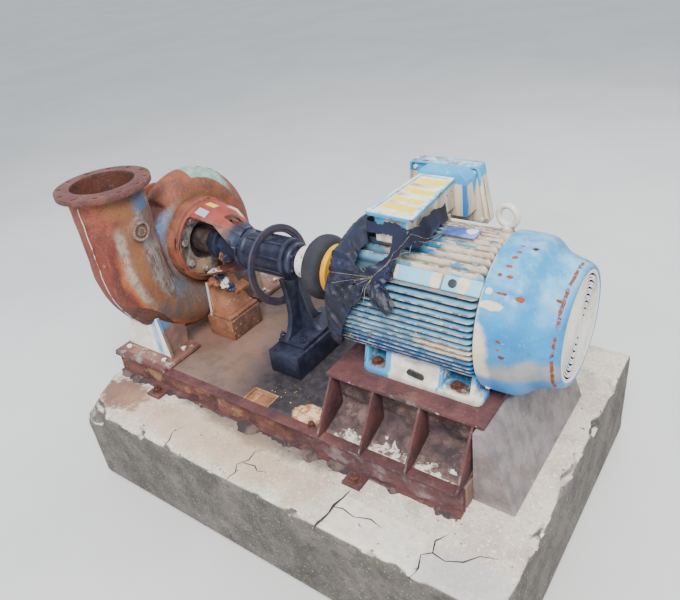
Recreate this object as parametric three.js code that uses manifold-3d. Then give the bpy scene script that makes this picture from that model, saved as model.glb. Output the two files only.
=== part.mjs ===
// Motor pump set: a volute pump driven by an electric motor through a tyre coupling, on one steel base
// Millimetres, +Z up. The shaft runs along X, with the pump on the -X side and the motor on the +X side.
// Inside the set's group the origin is on the shaft axis, above the motor's drive-end foot bolts.
// The exported group's own origin is at the middle of the concrete plinth's underside.

import * as THREE from "three";
import { mergeVertices } from "three/addons/utils/BufferGeometryUtils.js";
import Module from "manifold-3d";

const wasm = await Module();
wasm.setup();

// Driving dimensions

const GAP = 0.3;

const PLINTH = { left: -1600, right: 800, halfWidth: 815, height: 500, brokenX: 98, brokenY: 110 };

const BASE = { left: -1570, right: 510, halfWidth: 512, top: -529, depth: 125, flange: 50, thickness: 10 };
const PLINTH_TOP = BASE.top - BASE.depth;
const PLINTH_BOTTOM = PLINTH_TOP - PLINTH.height;
const GROUT_TOP = -538;
const LUG = { xs: [-1215, 45], width: 90, reach: 74, thickness: 14 };

const PEDESTAL = { left: -181, right: 543, halfWidth: 367, top: -280, plate: 20 };
const PEDESTAL_UNDERSIDE = PEDESTAL.top - PEDESTAL.plate;
const GUSSET = { xs: [-161, 55, 272, 497], thickness: 10, backHalfWidth: 312 };
const MORTAR_SLOPE_END = 690;

const MOTOR = {
  left: -145, right: 470, coreRadius: 264, finRadius: 303, finThickness: 7, sideFinTop: 172,
  sideFinStep: 25.5, sideFins: 14, topFinReach: 176, topFins: 13,
};
const FOOT = { left: -50, right: 490, halfWidth: 280, inner: 150, height: 26, corner: 34, clearOfCowl: 196 };
const FOOT_BOLTS = { xs: [0, 368, 419], y: 228.5, hole: 12 };
const FOOT_WALL = { outer: 266, innerTop: -180, outerTop: -172, topReach: 235, middle: [54, 316], end: 18 };
const COWL = {
  left: 460, shoulder: 562, right: 758, radius: 312, mouthRadius: 232, wall: 5, flatBottom: -274,
};
const GRILLE = {
  radius: 214, thickness: 5, sunk: 2, innerSlot: 66, slotStep: 36, slotWidth: 17, slots: 4, spoke: 12,
};
const FAN = { left: 600, right: 668, radius: 190, blades: 7 };

const LEAD_BOX = { left: 30, right: 172, near: -196, top: 423 };
const LEAD_LID = [[4, -214], [211, -222], [178, 177], [14, 184]];
const LEAD_LID_THICKNESS = 12;
const TERMINAL_BOX = { near: 186, far: 290, bottom: 205, top: 452 };
const TERMINAL_LID_THICKNESS = 45;
const LEAD_SEAT = { margin: 14, halfWidth: 120, bottom: 200, top: 307 };
const LIFTING_EYE = { x: 433, y: 96, height: 347, radius: 52, hole: 28, thickness: 24, turn: -12 };
const EYE_BOSS = { radius: 25, bottom: 200, top: 294 };

const SHAFT_RADIUS = 35;
const MOTOR_SHAFT_RADIUS = 37.5;
const RUNNING_GAP = 5;
const BEARING_GAP = 0.5;
const TYRE = { x: -400, radius: 153, width: 100, inner: 62 };

const PUMP_X = -1348;
const NOZZLE_Y = -390;
const DRUM = {
  left: -1462, right: -1245, radius: 262, leftRadius: 236, rightRadius: 240, chamferedAt: [-1440, -1262],
};
const SPIRAL = {
  outerStart: 345, outerEnd: 568, tubeStart: 100, tubeEnd: 178, leadIn: 32, steps: 26, sides: 18,
};
const NOZZLE_WAIST = { z: 120, slimmer: 4 };
const NOZZLE_BOSS = { y: -392, z: 230, radius: 50, right: -1159 };
const DISCHARGE = { top: 451, thickness: 30, radius: 222.5, bore: 150, boltCircle: 200, bolts: 12 };
const SUCTION = { left: -1590, thickness: 30, radius: 252.5, bore: 165, boltCircle: 230, bolts: 16 };
const SUCTION_NECK = { radius: 192, flare: 5 };
const WHEEL_CHAMBER_END = -1392;
const FLANGE_HOLE = 11;

const COVER = { left: -1245, ringRight: -1185, radius: 222, recessRadius: 199, faceX: -1203 };
const GLAND = { left: -1128, step: -1095, right: -1046, radius: 62, flangeRadius: 88 };
const BRACKET = { wideX: -1185, narrowX: -872, wideRadius: 205, narrowRadius: 101, wall: 14 };
const HOUSING = { left: -870, right: -590, radius: 95, collarRadius: 104 };
const END_COVER = { right: -560, radius: 87 };
const LOOSE_RING = { x: -704, outer: 202, inner: 161, thickness: 22, yaw: -3.8, lean: 7.4 };

const BEARING_BEAM = { left: -665, right: -479, halfLength: 224, top: -412 };
const COVER_BLOCK = { left: -1208, right: -1023, halfWidth: 115, top: -420 };
const VOLUTE_FOOT = { left: -1560, right: -1160, inner: 250, outer: 512, thickness: 20, web: 18 };
const VOLUTE_FOOT_WEB = { bottom: [-1539, -1198], top: [-1440, -1225] };
const VOLUTE_FOOT_RIB = { left: -1245, right: -1229, bulge: 12, bulgeFrom: -440, bulgeTo: -300, top: -250 };

// Colours as seen on the real set

function finish(color, roughness, metalness) {
  return new THREE.MeshStandardMaterial({ color, roughness, metalness });
}

const CONCRETE = finish(0xa89c8c, 0.95, 0);
const GROUT = finish(0xa08875, 0.95, 0);
const BASE_RUST = finish(0x5c3026, 0.85, 0.1);
const PUMP_RUST = finish(0x9a4a2c, 0.8, 0.1);
const COVER_GREY = finish(0x7d766e, 0.7, 0.2);
const OILY_BLACK = finish(0x1d2028, 0.35, 0.3);
const MOTOR_BLUE = finish(0x4aa3cf, 0.5, 0.1);
const CREAM = finish(0xd8cdb4, 0.7, 0);
const FADED_YELLOW = finish(0xd9c48a, 0.8, 0);
const STEEL = finish(0x8b8d90, 0.35, 0.8);
const RUBBER = finish(0x26272a, 0.85, 0);
const GOLD_YELLOW = finish(0xe0a526, 0.5, 0.1);
const BLACK_PLASTIC = finish(0x16181f, 0.4, 0);

// Closed shapes

function closed(geometry) {
  const flat = geometry.index ? geometry : mergeVertices(geometry);
  flat.deleteAttribute("normal");
  flat.deleteAttribute("uv");
  const merged = mergeVertices(flat, 1e-4);
  const corners = merged.index.array;
  const kept = [];
  for (let i = 0; i < corners.length; i += 3) {
    const [a, b, c] = corners.slice(i, i + 3);
    if (a !== b && b !== c && c !== a) {
      kept.push(a, b, c);
    }
  }
  const facing = signedVolume(merged.attributes.position, kept) > 0 ? kept : kept.reverse();
  merged.setIndex(facing);
  return merged;
}

function signedVolume(position, corners) {
  const [a, b, c] = [new THREE.Vector3(), new THREE.Vector3(), new THREE.Vector3()];
  let total = 0;
  for (let i = 0; i < corners.length; i += 3) {
    a.fromBufferAttribute(position, corners[i]);
    b.fromBufferAttribute(position, corners[i + 1]);
    c.fromBufferAttribute(position, corners[i + 2]);
    total += a.dot(b.cross(c)) / 6;
  }
  return total;
}

function solid(geometry) {
  const shape = closed(geometry);
  return new wasm.Manifold(new wasm.Mesh({
    numProp: 3,
    vertProperties: new Float32Array(shape.attributes.position.array),
    triVerts: new Uint32Array(shape.index.array),
  }));
}

function surface(manifold) {
  const mesh = manifold.getMesh();
  const geometry = new THREE.BufferGeometry();
  geometry.setAttribute("position", new THREE.BufferAttribute(new Float32Array(mesh.vertProperties), 3));
  geometry.setIndex(new THREE.BufferAttribute(new Uint32Array(mesh.triVerts), 1));
  return geometry;
}

function build(joined, cut = []) {
  let result = solid(joined[0]);
  for (const shape of joined.slice(1)) {
    result = result.add(solid(shape));
  }
  for (const shape of cut) {
    result = result.subtract(solid(shape));
  }
  return surface(result);
}

function box(x0, x1, y0, y1, z0, z1) {
  const geometry = new THREE.BoxGeometry(x1 - x0, y1 - y0, z1 - z0);
  return geometry.translate((x0 + x1) / 2, (y0 + y1) / 2, (z0 + z1) / 2);
}

function outline(points) {
  return new THREE.Shape(points.map(([a, b]) => new THREE.Vector2(a, b)));
}

// A prism along X has its outline in Y and Z, one along Y in X and Z, and one along Z in X and Y

function prism(axis, from, to, shape) {
  const depth = to - from;
  const geometry = new THREE.ExtrudeGeometry(shape, { depth, bevelEnabled: false, curveSegments: 8 });
  if (axis === "x") {
    const turned = new THREE.Matrix4().set(0, 0, 1, from, 1, 0, 0, 0, 0, 1, 0, 0, 0, 0, 0, 1);
    return geometry.applyMatrix4(turned);
  }
  if (axis === "y") {
    const turned = new THREE.Matrix4().set(1, 0, 0, 0, 0, 0, -1, to, 0, 1, 0, 0, 0, 0, 0, 1);
    return geometry.applyMatrix4(turned);
  }
  return geometry.translate(0, 0, from);
}

// A turned shape round the shaft axis, from a closed profile of [x, radius] points

function turned(profile, segments = 40) {
  const points = [...profile, profile[0]].map(([x, radius]) => new THREE.Vector2(radius, x));
  return new THREE.LatheGeometry(points, segments).rotateZ(-Math.PI / 2);
}

function rod(radius, x0, x1, segments = 24, y = 0, z = 0) {
  return turned([[x0, 0], [x0, radius], [x1, radius], [x1, 0]], segments).translate(0, y, z);
}

function post(radius, x, y, z0, z1, segments = 24) {
  const geometry = new THREE.CylinderGeometry(radius, radius, z1 - z0, segments);
  return geometry.rotateX(Math.PI / 2).translate(x, y, (z0 + z1) / 2);
}

function mirrored(shape) {
  return closed(shape.clone().scale(1, -1, 1));
}

// The set's group, which every piece joins

const set = new THREE.Group();

function piece(name, geometry, material) {
  const mesh = new THREE.Mesh(closed(geometry), material);
  mesh.name = name;
  set.add(mesh);
  return mesh;
}

// Plinth and steel base frame

function plinth() {
  const { left, right, halfWidth, brokenX, brokenY } = PLINTH;
  const plan = outline([
    [left + brokenX, -halfWidth], [right, -halfWidth], [right, halfWidth], [left, halfWidth],
    [left, -halfWidth + brokenY],
  ]);
  return prism("z", PLINTH_BOTTOM, PLINTH_TOP, plan);
}

// The channels' flanges point outwards

function channelSection() {
  const { halfWidth, top, flange, thickness } = BASE;
  const back = -halfWidth + flange;
  const web = back - thickness;
  return outline([
    [-halfWidth, PLINTH_TOP], [back, PLINTH_TOP], [back, top], [-halfWidth, top],
    [-halfWidth, top - thickness], [web, top - thickness], [web, PLINTH_TOP + thickness],
    [-halfWidth, PLINTH_TOP + thickness],
  ]);
}

function sideChannel() {
  const lugs = LUG.xs.map((x) => box(
    x - LUG.width / 2, x + LUG.width / 2, -BASE.halfWidth - LUG.reach, -BASE.halfWidth + BASE.thickness / 2,
    PLINTH_TOP, PLINTH_TOP + LUG.thickness,
  ));
  return build([prism("x", BASE.left, BASE.right, channelSection()), ...lugs]);
}

function endChannel() {
  const reach = BASE.halfWidth - BASE.flange - GAP;
  return box(BASE.left, BASE.left + BASE.thickness, -reach, reach, PLINTH_TOP, BASE.top);
}

function groutFloor() {
  const { left, right, halfWidth, flange, thickness } = BASE;
  const reach = halfWidth - flange - GAP;
  return box(left + thickness + GAP, right, -reach, reach, PLINTH_TOP, GROUT_TOP);
}

piece("concrete_plinth", plinth(), CONCRETE);
piece("front_channel", sideChannel(), BASE_RUST);
piece("rear_channel", mirrored(sideChannel()), BASE_RUST);
piece("left_end_plate", endChannel(), BASE_RUST);
piece("grout_floor", groutFloor(), GROUT);

// Motor pedestal: a steel top plate on gussets, filled with mortar that slopes down at the motor's end

function pedestalCore() {
  const { backHalfWidth } = GUSSET;
  const wall = backHalfWidth - GAP;
  const section = outline([
    [-440, GROUT_TOP], [440, GROUT_TOP], [wall, GROUT_TOP + 60], [wall, PEDESTAL_UNDERSIDE],
    [-wall, PEDESTAL_UNDERSIDE], [-wall, GROUT_TOP + 60],
  ]);
  return prism("x", PEDESTAL.left + 14, BASE.right, section);
}

function mortarSlope() {
  const start = BASE.right + GAP;
  const side = outline([
    [start, PLINTH_TOP], [MORTAR_SLOPE_END, PLINTH_TOP], [PEDESTAL.right + 12, PEDESTAL_UNDERSIDE],
    [start, PEDESTAL_UNDERSIDE],
  ]);
  return prism("y", -400, 400, side);
}

function gusset(x) {
  const { thickness, backHalfWidth } = GUSSET;
  const side = outline([
    [-BASE.halfWidth, BASE.top], [-440 - GAP, BASE.top], [-backHalfWidth, GROUT_TOP + 60 + 3 * GAP],
    [-backHalfWidth, PEDESTAL_UNDERSIDE], [-PEDESTAL.halfWidth, PEDESTAL_UNDERSIDE],
    [-BASE.halfWidth, BASE.top + 12],
  ]);
  return prism("x", x - thickness / 2, x + thickness / 2, side);
}

piece("pedestal_core", pedestalCore(), GROUT);
piece("mortar_slope", mortarSlope(), GROUT);
piece("motor_top_plate", box(
  PEDESTAL.left, PEDESTAL.right, -PEDESTAL.halfWidth, PEDESTAL.halfWidth, PEDESTAL_UNDERSIDE, PEDESTAL.top,
), BASE_RUST);
GUSSET.xs.forEach((x, i) => {
  piece(`front_gusset_${i + 1}`, gusset(x), BASE_RUST);
  piece(`rear_gusset_${i + 1}`, mirrored(gusset(x)), BASE_RUST);
});

// Volute casing: a spiral tube that grows round the wheel and rises into the discharge nozzle

function ringOfPoints(centreY, centreZ, radialY, radialZ, radius, count) {
  return Array.from({ length: count }, (_, k) => {
    const turn = (2 * Math.PI * k) / count;
    const out = radius * Math.cos(turn);
    return [PUMP_X + radius * Math.sin(turn), centreY + out * radialY, centreZ + out * radialZ];
  });
}

function loft(rings) {
  const count = rings[0].length;
  const positions = rings.flat(2);
  const corners = [];
  for (let ring = 0; ring + 1 < rings.length; ring += 1) {
    for (let k = 0; k < count; k += 1) {
      const [a, b] = [ring * count + k, ring * count + ((k + 1) % count)];
      corners.push(a, b, a + count, b, b + count, a + count);
    }
  }
  const last = (rings.length - 1) * count;
  for (let k = 1; k + 1 < count; k += 1) {
    corners.push(0, k + 1, k, last, last + k, last + k + 1);
  }
  const geometry = new THREE.BufferGeometry();
  geometry.setAttribute("position", new THREE.BufferAttribute(new Float32Array(positions), 3));
  geometry.setIndex(corners);
  return geometry;
}

function spiralTube(extra = 0) {
  const { outerStart, outerEnd, tubeStart, tubeEnd, leadIn, steps, sides } = SPIRAL;
  const sweep = 270;
  const rings = [];
  for (let i = 0; i <= steps; i += 1) {
    const swept = -leadIn + ((sweep + leadIn) * i) / steps;
    const share = swept / sweep;
    const tube = tubeStart + (tubeEnd - tubeStart) * share;
    const centre = outerStart + (outerEnd - outerStart) * share - tube;
    const angle = THREE.MathUtils.degToRad(90 - swept);
    const [y, z] = [Math.cos(angle), Math.sin(angle)];
    rings.push(ringOfPoints(centre * y, centre * z, y, z, tube + extra, sides));
  }
  return loft(rings);
}

function nozzleTube(bottom, extra = 0) {
  const radius = SPIRAL.tubeEnd + extra;
  const { z, slimmer } = NOZZLE_WAIST;
  return loft([
    ringOfPoints(NOZZLE_Y, bottom, -1, 0, radius, SPIRAL.sides),
    ringOfPoints(NOZZLE_Y, z, -1, 0, radius - slimmer, SPIRAL.sides),
    ringOfPoints(NOZZLE_Y, DISCHARGE.top - DISCHARGE.thickness / 2, -1, 0, radius, SPIRAL.sides),
  ]);
}

function boltHoles(count, circle, place) {
  return Array.from({ length: count }, (_, k) => {
    const turn = (2 * Math.PI * (k + 0.5)) / count;
    return place(circle * Math.cos(turn), circle * Math.sin(turn));
  });
}

function voluteCasing() {
  const { left, right, radius, leftRadius, rightRadius, chamferedAt } = DRUM;
  const drum = turned([
    [left, 0], [left, leftRadius], [chamferedAt[0], radius], [chamferedAt[1], radius], [right, rightRadius],
    [right, 0],
  ]);
  const shaftBore = SHAFT_RADIUS + RUNNING_GAP + 2;
  const chamber = turned([
    [left - 10, 0], [left - 10, SUCTION.bore], [WHEEL_CHAMBER_END, SUCTION.bore],
    [WHEEL_CHAMBER_END, shaftBore], [right + 15, shaftBore], [right + 15, 0],
  ], 32);
  const coverSeat = rod(COVER.radius + 2 * GAP, COVER.left, COVER.left + 95, 36);
  return build([drum, spiralTube()], [nozzleTube(0, GAP), chamber, coverSeat]);
}

function dischargeNozzle() {
  const { top, thickness, radius, bore, boltCircle, bolts } = DISCHARGE;
  const underside = top - thickness;
  const boss = rod(NOZZLE_BOSS.radius, PUMP_X, NOZZLE_BOSS.right, 20, NOZZLE_BOSS.y, NOZZLE_BOSS.z);
  const flange = post(radius, PUMP_X, NOZZLE_Y, underside, top, 36);
  return build([nozzleTube(GAP), flange, boss], [
    post(bore, PUMP_X, NOZZLE_Y, -10, top + 10, 32),
    ...boltHoles(bolts, boltCircle, (x, y) => post(
      FLANGE_HOLE, PUMP_X + x, NOZZLE_Y + y, underside - 5, top + 5, 6,
    )),
  ]);
}

function suctionNeck() {
  const { left, thickness, radius, bore, boltCircle, bolts } = SUCTION;
  const back = left + thickness;
  const end = DRUM.left - GAP;
  const neck = turned([
    [left, bore], [left, radius], [back, radius], [back, SUCTION_NECK.radius],
    [end, SUCTION_NECK.radius + SUCTION_NECK.flare], [end, bore],
  ]);
  const holes = boltHoles(bolts, boltCircle, (y, z) => rod(FLANGE_HOLE, left - 5, back + 5, 6, y, z));
  return build([neck], holes);
}

function voluteFoot(webY, webTop, ribReach) {
  const { left, right, inner, outer, thickness, web } = VOLUTE_FOOT;
  const { bulge, bulgeFrom, bulgeTo, top } = VOLUTE_FOOT_RIB;
  const bottom = BASE.top + thickness;
  const ribEnd = webY + ribReach;
  const front = outline([
    [VOLUTE_FOOT_WEB.bottom[0], bottom], [VOLUTE_FOOT_WEB.bottom[1], bottom],
    [VOLUTE_FOOT_WEB.top[1], webTop], [VOLUTE_FOOT_WEB.top[0], webTop],
  ]);
  const side = outline([
    [webY, bottom], [ribEnd, bottom], [ribEnd + bulge, bulgeFrom], [ribEnd + bulge, bulgeTo], [webY, top],
  ]);
  return build([
    box(left, right, -outer, -inner, BASE.top, bottom),
    prism("y", webY - web / 2, webY + web / 2, front),
    prism("x", VOLUTE_FOOT_RIB.left, VOLUTE_FOOT_RIB.right, side),
  ]);
}

function impeller() {
  const hub = turned([[-1478, 0], [-1478, 52], [-1440, 62], [-1425, 150], [-1404, 150], [-1404, 0]], 32);
  const vanes = Array.from({ length: 6 }, (_, k) => {
    const vane = box(-1462, -1415, 45, 152, -5, 5);
    return vane.rotateX((Math.PI * k) / 3);
  });
  const eye = turned([[-1480, 136], [-1480, 154], [-1440, 154], [-1440, 136]], 32);
  return build([hub, ...vanes, eye], [rod(SHAFT_RADIUS + GAP, -1470, -1390, 24)]);
}

piece("volute_casing", voluteCasing(), PUMP_RUST);
piece("discharge_nozzle", dischargeNozzle(), PUMP_RUST);
piece("suction_neck", suctionNeck(), PUMP_RUST);
piece("near_volute_foot", build([voluteFoot(-410, -270, 140)], [spiralTube(GAP)]), PUMP_RUST);
piece("far_volute_foot", build([mirrored(voluteFoot(-330, -240, 132))], [spiralTube(GAP)]), PUMP_RUST);
piece("impeller", impeller(), STEEL);

// Stuffing box cover, lantern bracket and bearing housing on the shaft line

function casingCover() {
  const bore = SHAFT_RADIUS + RUNNING_GAP + 2;
  const rim = COVER.recessRadius - GAP;
  return turned([
    [COVER.left + GAP, bore], [COVER.left + GAP, rim], [COVER.faceX, rim], [COVER.faceX, 116],
    [GLAND.left, 104], [GLAND.left, bore],
  ], 36);
}

function bearingBracket() {
  const { wideX, narrowX, wideRadius, narrowRadius, wall } = BRACKET;
  const shell = turned([
    [COVER.left + GAP, COVER.recessRadius], [COVER.left + GAP, COVER.radius], [wideX, COVER.radius],
    [wideX, wideRadius], [-1150, wideRadius - 14], [-950, 130], [narrowX, narrowRadius], [narrowX, 60],
    [narrowX - 16, 60], [narrowX - 16, narrowRadius - wall - 2], [-950, 130 - wall],
    [-1150, wideRadius - 14 - wall], [wideX, wideRadius - wall], [wideX, COVER.recessRadius],
  ], 36);
  const window = prism("y", -260, 260, outline([
    [-1172, -150], [-1172, 160], [-1120, 160], [-1042, 143], [-948, 90], [-893, 44], [-893, -50],
  ]));
  const armHole = new THREE.CylinderGeometry(34, 34, 500, 12).scale(1.3, 1, 0.8);
  armHole.rotateX(Math.PI / 2).translate(-962, 18, 0);
  return build([shell], [window, armHole]);
}

function gland() {
  const bore = SHAFT_RADIUS + RUNNING_GAP + 1;
  const { left, step, right, radius, flangeRadius } = GLAND;
  return turned([
    [left + GAP, bore], [left + GAP, radius], [step, radius], [step, flangeRadius], [right, flangeRadius],
    [right, bore],
  ], 28);
}

function bearingHousing() {
  const { left, right, radius, collarRadius } = HOUSING;
  const bore = SHAFT_RADIUS + BEARING_GAP;
  const shell = turned([
    [left - 2 + GAP, bore], [left - 2 + GAP, collarRadius], [left + 26, collarRadius], [left + 26, radius],
    [right - 24, radius], [right - 24, collarRadius - 2], [right, collarRadius - 2], [right, bore],
  ], 36);
  const ribs = Array.from({ length: 8 }, (_, k) => {
    const rib = box(left + 20, right - 20, radius - 8, radius + 7, -6, 6);
    return rib.rotateX((Math.PI * (k + 0.5)) / 4);
  });
  return build([shell, ...ribs]);
}

function bearingEndCover() {
  const { right, radius } = END_COVER;
  const bore = SHAFT_RADIUS + BEARING_GAP;
  return turned([
    [HOUSING.right + GAP, bore], [HOUSING.right + GAP, radius], [right - 8, radius], [right, radius - 10],
    [right, bore],
  ], 32);
}

function looseRing() {
  const { x, outer, inner, thickness, yaw, lean } = LOOSE_RING;
  const half = thickness / 2;
  const ring = turned([
    [-half, inner], [-half, outer - 6], [-half + 6, outer], [half, outer], [half, inner + 14],
    [half - 9, inner],
  ], 40);
  ring.rotateY(THREE.MathUtils.degToRad(-lean)).rotateZ(THREE.MathUtils.degToRad(yaw));
  const drop = inner - HOUSING.radius - 10.5;
  return ring.translate(x, 4, -drop);
}

piece("casing_cover", casingCover(), COVER_GREY);
piece("bearing_bracket", bearingBracket(), PUMP_RUST);
piece("shaft_gland", gland(), STEEL);
piece("bearing_housing", bearingHousing(), OILY_BLACK);
piece("bearing_end_cover", bearingEndCover(), OILY_BLACK);
piece("hanging_ring", looseRing(), OILY_BLACK);

// Supports under the bearing housing and the cover

function bearingPedestal() {
  const seat = HOUSING.radius + 8;
  const front = new THREE.Shape();
  front.moveTo(-150, BEARING_BEAM.top);
  front.lineTo(150, BEARING_BEAM.top);
  front.lineTo(150, BEARING_BEAM.top + 22);
  front.quadraticCurveTo(92, -370, 78, -270);
  front.quadraticCurveTo(74, -170, 96, -70);
  front.lineTo(-96, -70);
  front.quadraticCurveTo(-74, -170, -78, -270);
  front.quadraticCurveTo(-92, -370, -150, BEARING_BEAM.top + 22);
  const web = prism("x", -628, -598, front);
  const rib = prism("y", -14, 14, outline([
    [-650, BEARING_BEAM.top], [-500, BEARING_BEAM.top], [-500, -385], [-598, -110], [-640, -90],
    [-650, -300],
  ]));
  const foot = box(-655, -492, -150, 150, BEARING_BEAM.top, BEARING_BEAM.top + 22);
  return build([web, rib, foot], [rod(seat, -700, -480, 36)]);
}

function coverBracket() {
  const bottom = COVER_BLOCK.top;
  const upright = prism("x", -1190, -1174, outline([
    [-104, bottom], [104, bottom], [84, -222], [-84, -222],
  ]));
  const cheek = prism("y", -90, -76, outline([
    [-1190, bottom], [-1060, bottom], [-1060, bottom + 26], [-1110, -300], [-1160, -226], [-1190, -226],
  ]));
  const foot = box(-1190, -1030, -108, 108, bottom, bottom + 18);
  const coverRim = rod(COVER.radius + GAP, COVER.left - 15, COVER.ringRight + GAP, 36);
  return build([upright, cheek, mirrored(cheek), foot], [coverRim]);
}

piece("bearing_beam", box(
  BEARING_BEAM.left, BEARING_BEAM.right, -BEARING_BEAM.halfLength, BEARING_BEAM.halfLength, GROUT_TOP,
  BEARING_BEAM.top,
), OILY_BLACK);
piece("bearing_pedestal", bearingPedestal(), OILY_BLACK);
piece("cover_block", box(
  COVER_BLOCK.left, COVER_BLOCK.right, -COVER_BLOCK.halfWidth, COVER_BLOCK.halfWidth, GROUT_TOP,
  COVER_BLOCK.top,
), PUMP_RUST);
piece("cover_bracket", coverBracket(), PUMP_RUST);

// Shafts and the tyre coupling

function pumpHub() {
  const left = TYRE.x - TYRE.width / 2;
  return turned([
    [-532, SHAFT_RADIUS + GAP], [-532, 77], [left - 18, 77], [left - 18, 112], [left - GAP, 112],
    [left - GAP, SHAFT_RADIUS + GAP],
  ], 32);
}

function tyre() {
  const { x, radius, width, inner } = TYRE;
  const half = width / 2;
  return turned([
    [x - half, inner], [x - half, radius - 30], [x - half + 10, radius - 9], [x - 14, radius],
    [x + 14, radius], [x + half - 10, radius - 9], [x + half, radius - 30], [x + half, inner],
  ], 36);
}

function motorHub() {
  const right = TYRE.x + TYRE.width / 2;
  const bore = MOTOR_SHAFT_RADIUS + GAP;
  return turned([
    [right + GAP, bore], [right + GAP, 117], [right + 25, 117], [right + 25, 70], [-245, 70], [-245, bore],
  ], 32);
}

piece("pump_shaft", rod(SHAFT_RADIUS, -1468, TYRE.x - TYRE.width / 2 - 2, 24), STEEL);
piece("pump_hub", pumpHub(), CREAM);
piece("coupling_tyre", tyre(), RUBBER);
piece("motor_hub", motorHub(), GOLD_YELLOW);
piece("motor_shaft", turned([
  [-366, 0], [-366, MOTOR_SHAFT_RADIUS], [560, MOTOR_SHAFT_RADIUS], [560, 30], [690, 30], [690, 0],
], 24), STEEL);

// Motor frame with straight fins, pads, feet and end shield

function fins() {
  const { left, right, finRadius, sideFinTop, sideFinStep, sideFins, topFinReach, topFins } = MOTOR;
  const half = MOTOR.finThickness / 2;
  const shapes = [];
  for (let k = 0; k < sideFins; k += 1) {
    const z = sideFinTop - k * sideFinStep;
    const reach = Math.sqrt(finRadius ** 2 - (Math.abs(z) + half) ** 2);
    shapes.push(box(left, right, -reach, reach, z - half, z + half));
  }
  for (let k = 0; k < topFins; k += 1) {
    const y = -topFinReach + (2 * topFinReach * k) / (topFins - 1);
    const reach = Math.sqrt(finRadius ** 2 - (Math.abs(y) + half) ** 2);
    shapes.push(box(left, right, y - half, y + half, 0, reach));
  }
  return shapes;
}

function sidePad() {
  const pad = box(112, MOTOR.right, -30, 30, MOTOR.coreRadius - 30, MOTOR.finRadius - 4);
  return pad.rotateX(THREE.MathUtils.degToRad(46.5));
}

function motorFoot() {
  const { left, right, halfWidth, inner, height, corner, clearOfCowl } = FOOT;
  const cowlStart = COWL.left - 6;
  const plan = new THREE.Shape();
  plan.moveTo(left, -inner);
  plan.lineTo(left, -halfWidth + corner);
  plan.quadraticCurveTo(left, -halfWidth, left + corner, -halfWidth);
  plan.lineTo(right - corner, -halfWidth);
  plan.quadraticCurveTo(right, -halfWidth, right, -halfWidth + corner);
  plan.lineTo(right, -clearOfCowl);
  plan.lineTo(cowlStart, -clearOfCowl);
  plan.lineTo(cowlStart, -inner);
  const bottom = PEDESTAL.top;
  const { outer, innerTop, outerTop, topReach, middle, end } = FOOT_WALL;
  const wall = outline([[-outer, bottom], [-inner, bottom], [-inner, innerTop], [-topReach, outerTop]]);
  const wallEnds = [[left, left + end], middle, [cowlStart - end, cowlStart]];
  const walls = wallEnds.map(([x0, x1]) => prism("x", x0, x1, wall));
  const holes = FOOT_BOLTS.xs.map((x) => post(
    FOOT_BOLTS.hole, x, -FOOT_BOLTS.y, bottom - 5, bottom + height + 5, 12,
  ));
  const frameBody = rod(MOTOR.coreRadius + GAP, left - 50, right + 50, 48);
  return build([prism("z", bottom, bottom + height, plan), ...walls], [...holes, frameBody]);
}

function motorFrame() {
  const { left, right, coreRadius } = MOTOR;
  const { margin, halfWidth, bottom, top } = LEAD_SEAT;
  const eyeBoss = post(EYE_BOSS.radius, LIFTING_EYE.x, LIFTING_EYE.y, EYE_BOSS.bottom, EYE_BOSS.top, 16);
  return build([
    rod(coreRadius, left, right, 48), ...fins(), sidePad(), mirrored(sidePad()), eyeBoss,
    box(LEAD_BOX.left - margin, LEAD_BOX.right + margin, -halfWidth, halfWidth, bottom, top),
  ], [rod(MOTOR_SHAFT_RADIUS + 3, left - 10, right + 10, 24)]);
}

function endShield() {
  const bore = MOTOR_SHAFT_RADIUS + BEARING_GAP;
  const back = MOTOR.left - GAP;
  return turned([
    [-192, bore], [-192, 96], [-180, 110], [-176, 240], [-166, 272], [back, 272], [back, bore],
  ], 40);
}

piece("motor_frame", motorFrame(), MOTOR_BLUE);
piece("near_motor_foot", motorFoot(), MOTOR_BLUE);
piece("far_motor_foot", mirrored(motorFoot()), MOTOR_BLUE);
piece("drive_end_shield", endShield(), MOTOR_BLUE);

// Fan cowl with its slotted grille, and the fan inside

function fanCowl() {
  const { left, shoulder, right, radius, mouthRadius, wall, flatBottom } = COWL;
  const lip = right - 12;
  const outside = turned([
    [left, 0], [left, radius], [shoulder, radius], [600, radius - 9], [660, 268], [right - 14, mouthRadius],
    [right, mouthRadius - 8], [right, 0],
  ], 40);
  const snug = (MOTOR.finRadius + GAP) / Math.cos(Math.PI / 40);
  const snugEnd = MOTOR.right + 2;
  const inside = turned([
    [left - 5, 0], [left - 5, snug], [snugEnd, snug], [snugEnd, radius - wall], [shoulder, radius - wall],
    [600, radius - 9 - wall], [660, 268 - wall], [lip, mouthRadius - 14], [lip, 0],
  ], 40);
  const mouth = rod(GRILLE.radius + GAP, lip - 5, right + 5, 48);
  const above = (bottom) => solid(box(left - 50, right + 50, -400, 400, bottom, 400));
  const skin = solid(outside).intersect(above(flatBottom));
  const hollow = solid(inside).intersect(above(flatBottom + wall));
  return surface(skin.subtract(hollow).subtract(solid(mouth)));
}

function arc(radius, start, end, steps) {
  return Array.from({ length: steps + 1 }, (_, k) => {
    const turn = start + ((end - start) * k) / steps;
    return new THREE.Vector2(radius * Math.cos(turn), radius * Math.sin(turn));
  });
}

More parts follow.
